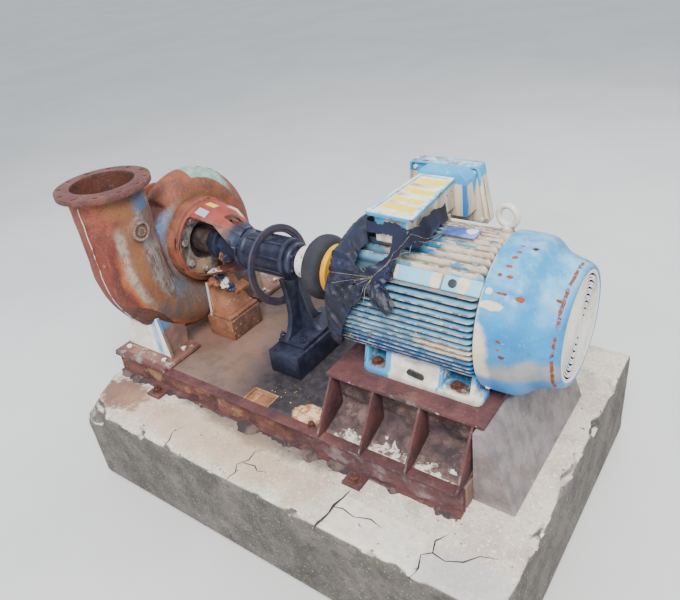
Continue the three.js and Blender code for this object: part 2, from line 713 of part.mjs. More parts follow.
function fanGrille() {
  const { radius, thickness, innerSlot, slotStep, slotWidth, slots, spoke, sunk } = GRILLE;
  const disc = new THREE.Shape(arc(radius, 0, 2 * Math.PI, 48).slice(1));
  for (let ring = 0; ring < slots; ring += 1) {
    const inner = innerSlot + ring * slotStep;
    const outer = inner + slotWidth;
    for (let quarter = 0; quarter < 4; quarter += 1) {
      const start = (Math.PI / 2) * quarter + spoke / outer;
      const end = (Math.PI / 2) * (quarter + 1) - spoke / outer;
      disc.holes.push(new THREE.Path([...arc(outer, start, end, 6), ...arc(inner, end, start, 6)]));
    }
  }
  return prism("x", COWL.right - sunk - thickness, COWL.right - sunk, disc);
}

function coolingFan() {
  const { left, right, radius, blades } = FAN;
  const hub = rod(62, left, right, 24);
  const plate = rod(radius - 30, left, left + 8, 32);
  const vanes = Array.from({ length: blades }, (_, k) => {
    const vane = box(left, right, 50, radius, -4, 4);
    return vane.rotateX((2 * Math.PI * k) / blades);
  });
  return build([hub, plate, ...vanes], [rod(30 + GAP, left - 10, right + 30, 24)]);
}

piece("fan_cowl", fanCowl(), MOTOR_BLUE);
piece("fan_grille", fanGrille(), CREAM);
piece("cooling_fan", coolingFan(), BLACK_PLASTIC);

// Lead box on top of the motor, with the tall terminal box behind it

function leadBox() {
  const { left, right, near, top } = LEAD_BOX;
  return box(left, right, near, TERMINAL_BOX.near - GAP, LEAD_SEAT.top, top);
}

function terminalBox() {
  const { near, far, bottom, top } = TERMINAL_BOX;
  const front = outline([
    [-6, bottom + 60], [222, bottom + 60], [226, top - 30], [196, top], [16, top], [-8, top - 30],
  ]);
  const rim = terminalOutline();
  const body = prism("y", near, far - 14, front);
  return build([body, prism("y", far - 14, far - GAP, rim)], [rod(MOTOR.finRadius + 2, -100, 400, 48)]);
}

function terminalOutline() {
  const { bottom, top } = TERMINAL_BOX;
  return outline([
    [-92, bottom], [272, bottom], [278, bottom + 14], [238, top - 4], [228, top + 3], [-66, top + 3],
    [-76, top - 6], [-98, bottom + 14],
  ]);
}

function liftingEye() {
  const { x, y, height, radius, hole, thickness, turn } = LIFTING_EYE;
  const ring = new THREE.TorusGeometry((radius + hole) / 2, (radius - hole) / 2, 6, 20);
  const squeeze = thickness / (radius - hole);
  ring.scale(1, 1, squeeze).rotateX(Math.PI / 2).rotateZ(THREE.MathUtils.degToRad(turn));
  ring.translate(x, y, height);
  const stem = post(EYE_BOSS.radius - 4, x, y, EYE_BOSS.top + GAP, height - radius + 8, 16);
  return build([ring, stem]);
}

piece("lead_box", leadBox(), MOTOR_BLUE);
piece("lead_box_lid", prism(
  "z", LEAD_BOX.top, LEAD_BOX.top + LEAD_LID_THICKNESS, outline(LEAD_LID),
), FADED_YELLOW);
piece("terminal_box", terminalBox(), MOTOR_BLUE);
piece("terminal_lid", prism(
  "y", TERMINAL_BOX.far, TERMINAL_BOX.far + TERMINAL_LID_THICKNESS, terminalOutline(),
), MOTOR_BLUE);
piece("lifting_eye", liftingEye(), CREAM);

// Black sheet tied round the motor's drive end, as one soft body

function plasticWrap() {
  const outside = MOTOR.finRadius + 15;
  const bundle = turned([
    [-336, 128], [-336, 158], [-300, 196], [-230, 262], [-180, outside - 2], [-60, outside],
    [-60, MOTOR.finRadius + 2], [-200, MOTOR.finRadius + 2], [-200, 128],
  ], 32);
  const abovePlate = box(-400, 0, -400, 400, PEDESTAL.top + 1, 400);
  return surface(solid(bundle).intersect(solid(abovePlate)));
}

piece("plastic_wrap", plasticWrap(), BLACK_PLASTIC);

// Place the set so that the origin is at the middle of the plinth's underside

set.position.set(-(PLINTH.left + PLINTH.right) / 2, 0, -PLINTH_BOTTOM);
const pumpSet = new THREE.Group();
pumpSet.add(set);

export default pumpSet;
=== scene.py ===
"""Motor pump set: the look of every surface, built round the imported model.

Sizes are in millimetres from the datum, which is on the shaft axis above the motor's drive-end foot bolts.
"""

import math

import bmesh
import bpy
import numpy as np
from mathutils import Matrix, Vector, geometry, noise


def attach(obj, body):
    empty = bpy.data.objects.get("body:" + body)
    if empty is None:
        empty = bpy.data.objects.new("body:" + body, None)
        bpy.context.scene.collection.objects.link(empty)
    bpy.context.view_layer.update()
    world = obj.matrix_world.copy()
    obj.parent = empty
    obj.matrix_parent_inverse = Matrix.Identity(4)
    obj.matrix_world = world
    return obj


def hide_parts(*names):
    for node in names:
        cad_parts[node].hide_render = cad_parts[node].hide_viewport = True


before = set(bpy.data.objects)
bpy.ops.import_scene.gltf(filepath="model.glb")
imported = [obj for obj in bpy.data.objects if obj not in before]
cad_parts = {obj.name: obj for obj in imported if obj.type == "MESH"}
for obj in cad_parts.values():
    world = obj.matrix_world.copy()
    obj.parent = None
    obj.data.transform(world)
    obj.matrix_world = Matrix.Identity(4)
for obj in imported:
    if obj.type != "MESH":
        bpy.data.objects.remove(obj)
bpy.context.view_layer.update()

# Places and driving sizes

DATUM = Vector((0.400, 0.0, 1.154))
PLINTH_TOP = -654
PLINTH_BOTTOM = -1154
FRAME_TOP = -529
GROUT_TOP = -538
PLATE_TOP = -280
PUMP_X = -1348
NOZZLE_Y = -390
COVER_X = -1245

PHOTO_WIDTH = 680
CAMERA_PLACE = (1275.5, -1976.7, 1380.8)
CAMERA_YAW = 39.387
CAMERA_PITCH = 31.189
CAMERA_ROLL = -8.130
CAMERA_FOCUS_PIXELS = 634.44


def at(x, y, z):
    return DATUM + Vector((x, y, z)) / 1000


def placed(name, data):
    obj = bpy.data.objects.new(name, data)
    bpy.context.scene.collection.objects.link(obj)
    return obj


# The camera stands where the photograph was taken from

def make_camera():
    yaw, pitch, roll = (math.radians(v) for v in (CAMERA_YAW, CAMERA_PITCH, CAMERA_ROLL))
    forward = Vector((-math.sin(yaw) * math.cos(pitch), math.cos(yaw) * math.cos(pitch), -math.sin(pitch)))
    level = forward.cross(Vector((0, 0, 1))).normalized()
    upright = level.cross(forward)
    right = math.cos(roll) * level + math.sin(roll) * upright
    up = math.cos(roll) * upright - math.sin(roll) * level
    data = bpy.data.cameras.new("camera")
    data.sensor_width = 36
    data.lens = data.sensor_width * CAMERA_FOCUS_PIXELS / PHOTO_WIDTH
    data.clip_end = 100
    camera = placed("camera", data)
    turn = Matrix((right, up, -forward)).transposed().to_4x4()
    camera.matrix_world = Matrix.Translation(at(*CAMERA_PLACE)) @ turn
    bpy.context.scene.camera = camera


def area_light(name, place, target, size, power, colour):
    data = bpy.data.lights.new(name, "AREA")
    data.shape = "DISK"
    data.size = size
    data.energy = power
    data.color = colour
    lamp = placed(name, data)
    lamp.location = place
    lamp.rotation_euler = (Vector(target) - Vector(place)).to_track_quat("-Z", "Y").to_euler()


def make_studio():
    world = bpy.data.worlds.new("soft_sky")
    world.use_nodes = True
    sky = world.node_tree.nodes["Background"]
    sky.inputs["Color"].default_value = (0.82, 0.90, 1.0, 1)
    sky.inputs["Strength"].default_value = 1.0
    bpy.context.scene.world = world
    area_light("key", (2.5, -3.5, 6.5), (0, 0, 0.9), 4.0, 800, (1.0, 0.98, 0.96))
    area_light("fill", (-5.0, -2.0, 4.0), (-0.3, 0, 0.9), 4.0, 120, (0.92, 0.96, 1.0))
    area_light("rim", (1.0, 5.0, 5.0), (0, 0, 0.9), 4.0, 190, (1.0, 1.0, 1.0))


# Mesh making: rings of points in millimetres become closed meshes

def link(name, points, faces, smooth=35):
    mesh = bpy.data.meshes.new(name)
    places = np.asarray(points, float) / 1000 + np.array(DATUM)
    mesh.from_pydata(places.tolist(), [], faces)
    obj = placed(name, mesh)
    edited(mesh, outward)
    soften(obj, smooth)
    return obj


def edited(mesh, change):
    work = bmesh.new()
    work.from_mesh(mesh)
    change(work)
    work.to_mesh(mesh)
    work.free()


def outward(work):
    bmesh.ops.recalc_face_normals(work, faces=work.faces)


def merged(work):
    bmesh.ops.remove_doubles(work, verts=work.verts, dist=1e-6)
    bmesh.ops.dissolve_degenerate(work, edges=work.edges, dist=1e-6)
    outward(work)


def soften(obj, angle):
    if angle:
        obj.data.shade_smooth()
        obj.data.set_sharp_from_angle(angle=math.radians(angle))


def applied(obj):
    """The object with its modifiers made part of its mesh."""
    graph = bpy.context.evaluated_depsgraph_get()
    mesh = bpy.data.meshes.new_from_object(obj.evaluated_get(graph))
    obj.modifiers.clear()
    old = obj.data
    obj.data = mesh
    bpy.data.meshes.remove(old)
    return obj


def remove(obj):
    mesh = obj.data
    bpy.data.objects.remove(obj)
    bpy.data.meshes.remove(mesh)


def boolean(obj, other, operation):
    change = obj.modifiers.new(operation, "BOOLEAN")
    change.operation = operation
    change.solver = "MANIFOLD"
    change.object = other
    applied(obj)
    remove(other)
    return obj


def fuse(first, *others):
    for other in others:
        boolean(first, other, "UNION")
    return first


def carve(first, *cutters):
    for cutter in cutters:
        boolean(first, cutter, "DIFFERENCE")
    return first


def rounded(obj, width, segments=2, angle=32, smooth=40):
    edge = obj.modifiers.new("rounded", "BEVEL")
    edge.width = width / 1000
    edge.segments = segments
    edge.limit_method = "ANGLE"
    edge.angle_limit = math.radians(angle)
    edge.harden_normals = False
    applied(obj)
    soften(obj, smooth)
    return obj


def cast(obj, voxel, smooth_steps=6, factor=0.5):
    """One skin over everything in the object, with the soft inner corners of a casting."""
    skin = obj.modifiers.new("skin", "REMESH")
    skin.mode = "VOXEL"
    skin.voxel_size = voxel / 1000
    relax = obj.modifiers.new("relax", "SMOOTH")
    relax.iterations = smooth_steps
    relax.factor = factor
    applied(obj)
    soften(obj, 180)
    return obj


def joined(name, objects):
    work = bmesh.new()
    for obj in objects:
        work.from_mesh(obj.data)
    mesh = bpy.data.meshes.new(name)
    work.to_mesh(mesh)
    work.free()
    for obj in objects:
        remove(obj)
    return placed(name, mesh)


def moved(obj, shift):
    """Moves every point by what shift(place, normal) gives, in millimetres."""
    count = len(obj.data.vertices)
    places = np.empty(count * 3)
    normals = np.empty(count * 3)
    obj.data.vertices.foreach_get("co", places)
    obj.data.vertex_normals.foreach_get("vector", normals)
    for k in range(0, 3 * count, 3):
        place = (Vector(places[k:k + 3]) - DATUM) * 1000
        places[k:k + 3] += np.array(shift(place, Vector(normals[k:k + 3]))) / 1000
    obj.data.vertices.foreach_set("co", places)
    obj.data.update()
    return obj


def fractal(x, y, z, gain=0.8, octaves=4):
    return noise.fractal(Vector((x, y, z)), gain, 2.0, octaves)


def roughen(obj, strength, scale, seed=0, octaves=3):
    """Moves each point along its normal by noise, in millimetres."""
    offset = Vector((seed * 7.3, seed * 3.1, seed * 5.7))

    def shift(place, normal):
        return normal * strength * noise.fractal((place / 1000 + offset) * scale, 0.9, 2.0, octaves)

    return moved(obj, shift)


def circle(count, radius, phase=0.5):
    """Places evenly round a circle, starting that share of a step past the first axis."""
    turns = [2 * math.pi * (k + phase) / count for k in range(count)]
    return [(radius * math.cos(turn), radius * math.sin(turn)) for turn in turns]


def turned(name, profile, segments=96, y=0, z=0, axis="x", x=0, smooth=35):
    """Turns a profile of (along, radius) points round the shaft axis, or round an upright axis at x and y."""
    points = []
    faces = []
    count = len(profile)
    for c, s in circle(segments, 1, 0):
        for along, radius in profile:
            if axis == "x":
                points.append((along, y + radius * c, z + radius * s))
            else:
                points.append((x + radius * c, y + radius * s, along))
    for k in range(segments):
        here, there = k * count, ((k + 1) % segments) * count
        for i in range(count):
            j = (i + 1) % count
            faces.append((here + i, here + j, there + j, there + i))
    obj = link(name, points, faces, 0)
    edited(obj.data, merged)
    soften(obj, smooth)
    return obj


def rod(name, radius, x0, x1, y=0, z=0, segments=48):
    return turned(name, [(x0, 0), (x0, radius), (x1, radius), (x1, 0)], segments, y, z)


def post(name, radius, x, y, z0, z1, segments=48):
    return turned(name, [(z0, 0), (z0, radius), (z1, radius), (z1, 0)], segments, y, axis="z", x=x)


def block(name, x0, x1, y0, y1, z0, z1):
    points = [(x, y, z) for x in (x0, x1) for y in (y0, y1) for z in (z0, z1)]
    faces = [(0, 1, 3, 2), (4, 6, 7, 5), (0, 4, 5, 1), (2, 3, 7, 6), (0, 2, 6, 4), (1, 5, 7, 3)]
    return link(name, points, faces, 0)


def prism(name, axis, low, high, outline):
    """Extrudes an outline: along x it is (y, z), along y it is (x, z), along z it is (x, y)."""
    def place(a, b, along):
        return {"x": (along, a, b), "y": (a, along, b), "z": (a, b, along)}[axis]
    count = len(outline)
    points = [place(a, b, low) for a, b in outline] + [place(a, b, high) for a, b in outline]
    faces = [tuple(range(count)), tuple(range(2 * count - 1, count - 1, -1))]
    faces += [(i, (i + 1) % count, count + (i + 1) % count, count + i) for i in range(count)]
    return link(name, points, faces, 0)


def grid_solid(name, columns, rows, face, back, smooth):
    """A closed mesh between two sides, each with its points column by column."""
    count = len(face)
    wide = rows + 1
    faces = []
    for i in range(columns):
        for j in range(rows):
            a = i * wide + j
            b = count + a
            faces.append((a, a + 1, a + 1 + wide, a + wide))
            faces.append((b, b + wide, b + 1 + wide, b + 1))
    for a in [i * wide + j for i in range(columns) for j in (0, rows)]:
        faces.append((a, a + wide, count + a + wide, count + a))
    for a in [i * wide + j for j in range(rows) for i in (0, columns)]:
        faces.append((a, a + 1, count + a + 1, count + a))
    return link(name, face + back, faces, smooth)


def loft(name, rings, smooth=60):
    count = len(rings[0])
    points = [point for ring in rings for point in ring]
    faces = []
    for r in range(len(rings) - 1):
        a, b = r * count, (r + 1) * count
        faces += [(a + k, a + (k + 1) % count, b + (k + 1) % count, b + k) for k in range(count)]
    faces += [tuple(range(count)), tuple(range(len(points) - 1, len(points) - count - 1, -1))]
    return link(name, points, faces, smooth)


def tube(name, route, radius, sides=8):
    """A round bar along a route of points, with parallel rings."""
    route = [Vector(p) for p in route]
    rings = []
    side = None
    for i, here in enumerate(route):
        ahead = (route[min(i + 1, len(route) - 1)] - route[max(i - 1, 0)]).normalized()
        if side is None:
            side = ahead.orthogonal().normalized()
        side = (side - ahead * side.dot(ahead)).normalized()
        over = ahead.cross(side)
        ring = []
        for k in range(sides):
            turn = 2 * math.pi * k / sides
            ring.append(tuple(here + radius * (math.cos(turn) * side + math.sin(turn) * over)))
        rings.append(ring)
    return loft(name, rings)


def carried(obj, place, turn):
    """Turns a mesh made round the datum and moves it to a place."""
    obj.data.transform(Matrix.Translation(at(*place)) @ turn @ Matrix.Translation(-DATUM))
    obj.data.update()
    return obj


def aimed(obj, place, direction):
    """Moves a mesh made round the datum's +Z axis to a place, with +Z along the direction."""
    turn = Vector(direction).normalized().to_track_quat("Z", "Y").to_matrix().to_4x4()
    return carried(obj, place, turn)


def spun(obj, angle, axis="X", centre=(0, 0, 0)):
    """Turns a mesh where it is, about an axis through a centre."""
    middle = Matrix.Translation(at(*centre))
    obj.data.transform(middle @ Matrix.Rotation(angle, 4, axis) @ middle.inverted())
    return obj


WASHER_HEIGHT = 4


def hex_bolt(place, direction, across=30, height=18, stud=0, turn=0.0):
    """A hexagon head on its washer, and with a stud end where stud is over 0."""
    base = WASHER_HEIGHT
    top = base + height
    rim = across * 0.98 - 8
    radius = across / math.sqrt(3)
    outline = [(0, 0), (0, rim), (1, rim + 1), (base, rim), (base, 0)]
    parts = [turned("washer", outline, 24, axis="z")]
    rings = []
    for level, share in ((base, 0.96), (base + 1.5, 1.0), (top - 2.5, 1.0), (top, 0.86)):
        reach = radius * share
        angles = [turn + math.pi * k / 3 for k in range(6)]
        rings.append([(reach * math.cos(a), reach * math.sin(a), level) for a in angles])
    parts.append(loft("head", rings, 30))
    if stud:
        end = top + stud
        outline = [(top - 1, 0), (top - 1, across * 0.3), (end - 2, across * 0.3), (end, across * 0.24),
                   (end, 0)]
        parts.append(turned("stud", outline, 16, axis="z"))
    return aimed(joined("bolt", parts), place, direction)


# Rust on the cowl: spots, and lines from one place to another
COWL_RUST = (((543, -104, 294), 15), ((537, -143, 277), 14), ((553, -176, 257), 13), ((519, -175, 257), 12),
             ((548, -78, 302), 12), ((545, -44, 309), 12), ((567, -303, 69), 13), ((567, -307, 39), 9),
             ((580, -308, 12), 15), ((592, -42, 303), 16))
COWL_RUST_LINES = (((521, -222, 218), (574, -226, 210), 5), ((574, -226, 211), (640, -208, 190), 6),
                   ((651, -212, 177), (694, -197, 162), 5), ((706, -158, 192), (744, -150, 184), 6))


# Materials are built from noise and from soft patches at real places on the set

def srgb(code):
    values = [int(code[i:i + 2], 16) / 255 for i in (0, 2, 4)]
    return [v / 12.92 if v <= 0.04045 else ((v + 0.055) / 1.055) ** 2.4 for v in values]


class Surface:
    """A material with short calls for the nodes that the set's finishes are made of."""

    def __init__(self, name, roughness=0.7, metallic=0.0):
        self.material = bpy.data.materials.new(name)
        self.material.use_nodes = True
        self.tree = self.material.node_tree
        self.shader = self.tree.nodes["Principled BSDF"]
        self.shader.inputs["Roughness"].default_value = roughness
        self.shader.inputs["Metallic"].default_value = metallic
        place = self.tree.nodes.new("ShaderNodeTexCoord")
        self.place = place.outputs["Object"]
        self.heights = []
        self.colour = None

    def wire(self, value, socket):
        if isinstance(value, bpy.types.NodeSocket):
            self.tree.links.new(value, socket)
        elif isinstance(value, str):
            socket.default_value = (*srgb(value), 1)
        else:
            socket.default_value = value

    def math(self, operation, a, b=0.0, c=0.0, clamp=False):
        node = self.tree.nodes.new("ShaderNodeMath")
        node.operation = operation
        node.use_clamp = clamp
        for socket, value in zip(node.inputs, (a, b, c)):
            self.wire(value, socket)
        return node.outputs[0]

    def scaled(self, stretch, shift=(0, 0, 0)):
        node = self.tree.nodes.new("ShaderNodeMapping")
        self.wire(self.place, node.inputs["Vector"])
        node.inputs["Scale"].default_value = stretch
        node.inputs["Location"].default_value = shift
        return node.outputs[0]

    def noise(self, scale, detail=5.0, rough=0.6, stretch=(1, 1, 1), shift=(0, 0, 0), bend=0.0):
        node = self.tree.nodes.new("ShaderNodeTexNoise")
        self.wire(self.scaled(stretch, shift), node.inputs["Vector"])
        node.inputs["Scale"].default_value = scale
        node.inputs["Detail"].default_value = detail
        node.inputs["Roughness"].default_value = rough
        node.inputs["Distortion"].default_value = bend
        return node.outputs["Fac"]

    def step(self, value, low, high):
        node = self.tree.nodes.new("ShaderNodeMapRange")
        node.interpolation_type = "SMOOTHSTEP"
        self.wire(value, node.inputs["Value"])
        node.inputs["From Min"].default_value = low
        node.inputs["From Max"].default_value = high
        return node.outputs["Result"]

    def blend(self, factor, a, b, kind="FLOAT"):
        node = self.tree.nodes.new("ShaderNodeMix")
        node.data_type = kind
        for name, value in (("Factor", factor), ("A", a), ("B", b)):
            self.wire(value, node.inputs[name])
        return node.outputs["Result"]

    def mix(self, factor, a, b):
        return self.blend(factor, a, b, "RGBA")

    def parts(self, value):
        node = self.tree.nodes.new("ShaderNodeSeparateXYZ")
        self.wire(value, node.inputs[0])
        return node.outputs

    def along(self, axis):
        return self.parts(self.place)["XYZ".index(axis)]

    def facing(self, axis):
        geometry = self.tree.nodes.new("ShaderNodeNewGeometry")
        return self.parts(geometry.outputs["Normal"])["XYZ".index(axis)]

    def vector(self, operation, *values):
        node = self.tree.nodes.new("ShaderNodeVectorMath")
        node.operation = operation
        for socket, value in zip(node.inputs, values):
            self.wire(value, socket)
        return node.outputs["Value" if operation == "LENGTH" else "Vector"]

    def both(self, a, b):
        return self.math("MULTIPLY", a, b)

    def either(self, a, b):
        return self.math("MAXIMUM", a, b)

    def spots(self, low, high, *values, **words):
        """1 where noise is past the high level and 0 where it is not yet at the low one."""
        return self.step(self.noise(*values, **words), low, high)

    def past(self, axis, low, high):
        """1 past the high place along an axis and 0 before the low one, in millimetres from the datum."""
        start = DATUM["XYZ".index(axis)]
        return self.step(self.along(axis), start + low / 1000, start + high / 1000)

    def shares(self, centre, reach):
        """The way from a centre, as shares of a reach along each axis, both in millimetres."""
        return self.vector("MULTIPLY", self.vector("SUBTRACT", self.place, at(*centre)),
                           [1000 / r for r in reach])

    def patch(self, centre, reach, soft=0.25, wobble=0.8, scale=14.0, seed=0.0):
        """1 inside an ellipsoid of that reach round the centre, with a ragged edge."""
        size = self.vector("LENGTH", self.shares(centre, reach))
        edge = self.wobbled(size, wobble, scale, detail=5, rough=0.65, shift=(seed, seed, 0))
        return self.step(edge, 1 + soft, 1 - soft)

    def reach(self):
        """How far a point is from the shaft axis, in metres."""
        return self.vector("LENGTH", self.vector("MULTIPLY_ADD", self.place, (0, 1, 1), (0, 0, -DATUM.z)))

    def wobbled(self, value, amount, scale, **words):
        """The value moved up and down by noise."""
        return self.math("ADD", value, self.math("MULTIPLY_ADD", self.noise(scale, **words), amount * 2,
                                                 -amount))

    def band(self, value, low, high, soft):
        """1 between two values, with soft edges."""
        rising = self.step(value, low - soft, low + soft)
        return self.both(rising, self.step(value, high + soft, high - soft))

    def panel(self, centre, half, soft=0.04):
        """1 inside a straight-edged box of those half sizes."""
        x, y, z = self.parts(self.vector("ABSOLUTE", self.shares(centre, half)))
        return self.step(self.either(self.either(x, y), z), 1 + soft, 1 - soft)

    def lay(self, colour, mask, over, share=1.0):
        """Lays a colour over another where the mask is 1."""
        return self.mix(self.both(mask, share) if share < 1 else mask, colour, over)

    def over(self, mask, colour, share=1.0):
        """Lays a colour over the finish where the mask is 1."""
        self.colour = self.lay(self.colour, mask, colour, share)

    def bump(self, height, depth):
        """Adds a relief of that depth in millimetres."""
        self.heights.append((height, depth))

    def finish(self, roughness=None):
        self.wire(self.colour, self.shader.inputs["Base Color"])
        if roughness is not None:
            self.wire(roughness, self.shader.inputs["Roughness"])
        below = None
        for height, depth in self.heights:
            node = self.tree.nodes.new("ShaderNodeBump")
            node.inputs["Distance"].default_value = depth / 1000
            self.wire(height, node.inputs["Height"])
            if below is not None:
                self.wire(below, node.inputs["Normal"])
            below = node.outputs["Normal"]
        if below is not None:
            self.wire(below, self.shader.inputs["Normal"])
        return self.material


def two_tone(surface, scale, first, second, low=0.4, high=0.62, **words):
    return surface.mix(surface.step(surface.noise(scale, **words), low, high), first, second)


def concrete():
    s = Surface("weathered_concrete", 0.95)
    top = s.step(s.facing("Z"), 0.55, 0.85)
    pale = two_tone(s, 7, "d9cebd", "bfae9b", 0.35, 0.7)
    pale = s.lay(pale, s.spots(0.52, 0.7, 60, 4), "efe8da")
    pale = s.lay(pale, s.spots(0.56, 0.66, 95, 7, 0.8, shift=(3, 9, 0)), "7a6d62", 0.5)
    pits = s.spots(0.62, 0.7, 150, 2)
    pale = s.lay(pale, pits, "6d655a", 0.8)
    dirt = s.spots(0.55, 0.75, 5, 6, 0.7)
    pale = s.lay(pale, dirt, "857a6d", 0.45)
    stain = s.patch((-1400, -640, PLINTH_TOP), (170, 110, 60), 0.3, 0.9, 22)
    pale = s.lay(pale, stain, "6e3c34", 0.85)
    near_frame = s.patch((-530, 0, PLINTH_TOP), (1110, 590, 90), 0.05, 0.1, 9)
    pale = s.lay(pale, near_frame, "4f4541", 0.75)
    tan = s.patch((-700, -660, PLINTH_TOP), (620, 110, 60), 0.5, 0.7, 6)
    pale = s.lay(pale, tan, "c79f7c", 0.5)
    grey = s.patch((640, -760, PLINTH_TOP), (230, 120, 60), 0.2, 0.5, 8)
    pale = s.lay(pale, grey, "b9b9bd", 0.6)
    slab = s.panel((250, -720, PLINTH_TOP), (205, 92, 40), 0.06)
    pale = s.lay(pale, slab, two_tone(s, 30, "f0e9dd", "d6ccbf", 0.4, 0.66), 0.6)
    drops = s.spots(0.685, 0.70, 34, 4, 0.5, shift=(6, 6, 1))
    pale = s.lay(pale, drops, "3a3430", 0.85)
    side = two_tone(s, 6, "746d66", "56514c", 0.35, 0.65)
    side = s.lay(side, s.spots(0.5, 0.72, 3.2, 6, 0.7, stretch=(1, 1, 0.5)), "504c45")
    moss = s.spots(0.58, 0.7, 4.5, 6, 0.75, shift=(3, 1, 0))
    side = s.lay(side, moss, "6f7849", 0.5)
    side = s.lay(side, s.spots(0.58, 0.72, 90, 3), "aaa294")
    lichen = s.spots(0.5, 0.6, 30, 8, 0.8, shift=(8, 2, 5))
    side = s.lay(side, lichen, "3b3a36", 0.5)
    s.bump(s.noise(26, 8, 0.7), 6)
    s.bump(s.noise(180, 3, 0.6), 1.4)
    s.colour = s.lay(side, top, pale)
    return s.finish()


def grout():
    s = Surface("oily_grout", 0.9)
    s.colour = two_tone(s, 9, "7c6459", "63524b", 0.38, 0.65)
    s.over(s.spots(0.6, 0.75, 120, 3), "7b6a5d")
    s.over(s.spots(0.5, 0.7, 4, 5, 0.7), "8a5f48", 0.5)
    oil = s.patch((-470, -80, GROUT_TOP), (330, 540, 200), 0.28, 0.5, 9)
    s.over(oil, "40393c", 0.8)
    core = s.patch((-440, -170, GROUT_TOP), (240, 330, 200), 0.22, 0.6, 12)
    s.over(core, two_tone(s, 30, "1f1f27", "3a3538"), 0.85)
    dots = s.both(s.patch((-470, -330, GROUT_TOP), (110, 60, 60), 0.3, 0.5, 20),
                  s.spots(0.66, 0.68, 70, 3, 0.5))
    s.over(dots, "d8cf6a")
    pit = s.patch((-296, -402, GROUT_TOP - 14), (84, 66, 40), 0.1, 0.4, 20)
    s.over(pit, two_tone(s, 26, "e0c9a6", "b9784c", 0.42, 0.6))
    slot = s.panel((-579, -417, GROUT_TOP - 10), (76, 52, 14), 0.02)
    s.over(slot, two_tone(s, 16, "8a5a3c", "b38b66"))
    edge = s.patch((-1130, -70, GROUT_TOP), (190, 230, 60), 0.3, 0.7, 16)
    s.over(edge, "7d5a46", 0.5)
    rough = s.blend(oil, 0.92, 0.55)
    s.bump(s.noise(30, 7, 0.65), 4)
    s.bump(s.noise(200, 2), 0.8)
    return s.finish(rough)


def mortar():
    s = Surface("dark_mortar", 0.95)
    s.colour = two_tone(s, 12, "5f4c4a", "3f3336", 0.38, 0.62)
    s.over(s.spots(0.5, 0.62, 8, 7, 0.75, shift=(1, 4, 2)), "8a6f66", 0.7)
    rusty = s.both(s.past("Z", -420, -340), s.spots(0.42, 0.6, 14, 6, 0.7, shift=(3, 3, 3)))
    s.over(rusty, "7c4438", 0.5)
    s.over(s.spots(0.6, 0.72, 120, 3), "3b3230")
    pale = two_tone(s, 14, "a59a90", "8a7d74", 0.35, 0.7)
    pale = s.lay(pale, s.spots(0.5, 0.72, 60, 4, 0.7), "5f544e")
    s.over(s.past("X", 500, 560), pale)
    s.bump(s.noise(30, 7, 0.7), 7)
    s.bump(s.noise(170, 3), 1.5)
    return s.finish()


def base_rust():
    s = Surface("rusted_base_steel", 0.85, 0.1)
    s.colour = two_tone(s, 7, "623a39", "472b2f", 0.38, 0.64)
    s.over(s.spots(0.55, 0.72, 16, 6, 0.7), "80493a", 0.6)
    s.over(s.spots(0.54, 0.66, 60, 8, 0.8), "846a62", 0.35)
    s.over(s.spots(0.64, 0.72, 160, 3), "2f1f1d")
    web = s.step(s.facing("Y"), -0.6, -0.9)
    patches = s.both(web, s.spots(0.54, 0.62, 5.5, 5, 0.6, stretch=(1, 1, 2)))
    low = s.past("Z", -514, -534)
    patches = s.both(patches, low)
    patches = s.both(patches, s.past("X", -200, -340))
    smear = s.both(web, s.spots(0.5, 0.6, 9, 7, 0.75, shift=(6, 1, 0)))
    smear = s.both(smear, s.past("X", -340, -200))
    s.over(smear, two_tone(s, 40, "4d4544", "8d8580", 0.45, 0.62), 0.8)
    lime = s.both(web, s.spots(0.615, 0.635, 16, 7, 0.75, shift=(2, 7, 0)))
    s.over(lime, "d8d0c6", 0.8)
    s.over(patches, two_tone(s, 30, "9c7355", "6b4a42", 0.42, 0.62), 0.5)
    dust = s.both(s.step(s.facing("Z"), 0.5, 0.9), s.spots(0.5, 0.75, 9, 6, 0.7, shift=(2, 2, 2)))
    s.over(dust, "9a7b6b", 0.35)
    s.bump(s.noise(45, 6, 0.7), 1.6)
    s.bump(s.noise(260, 3), 0.5)
    return s.finish()


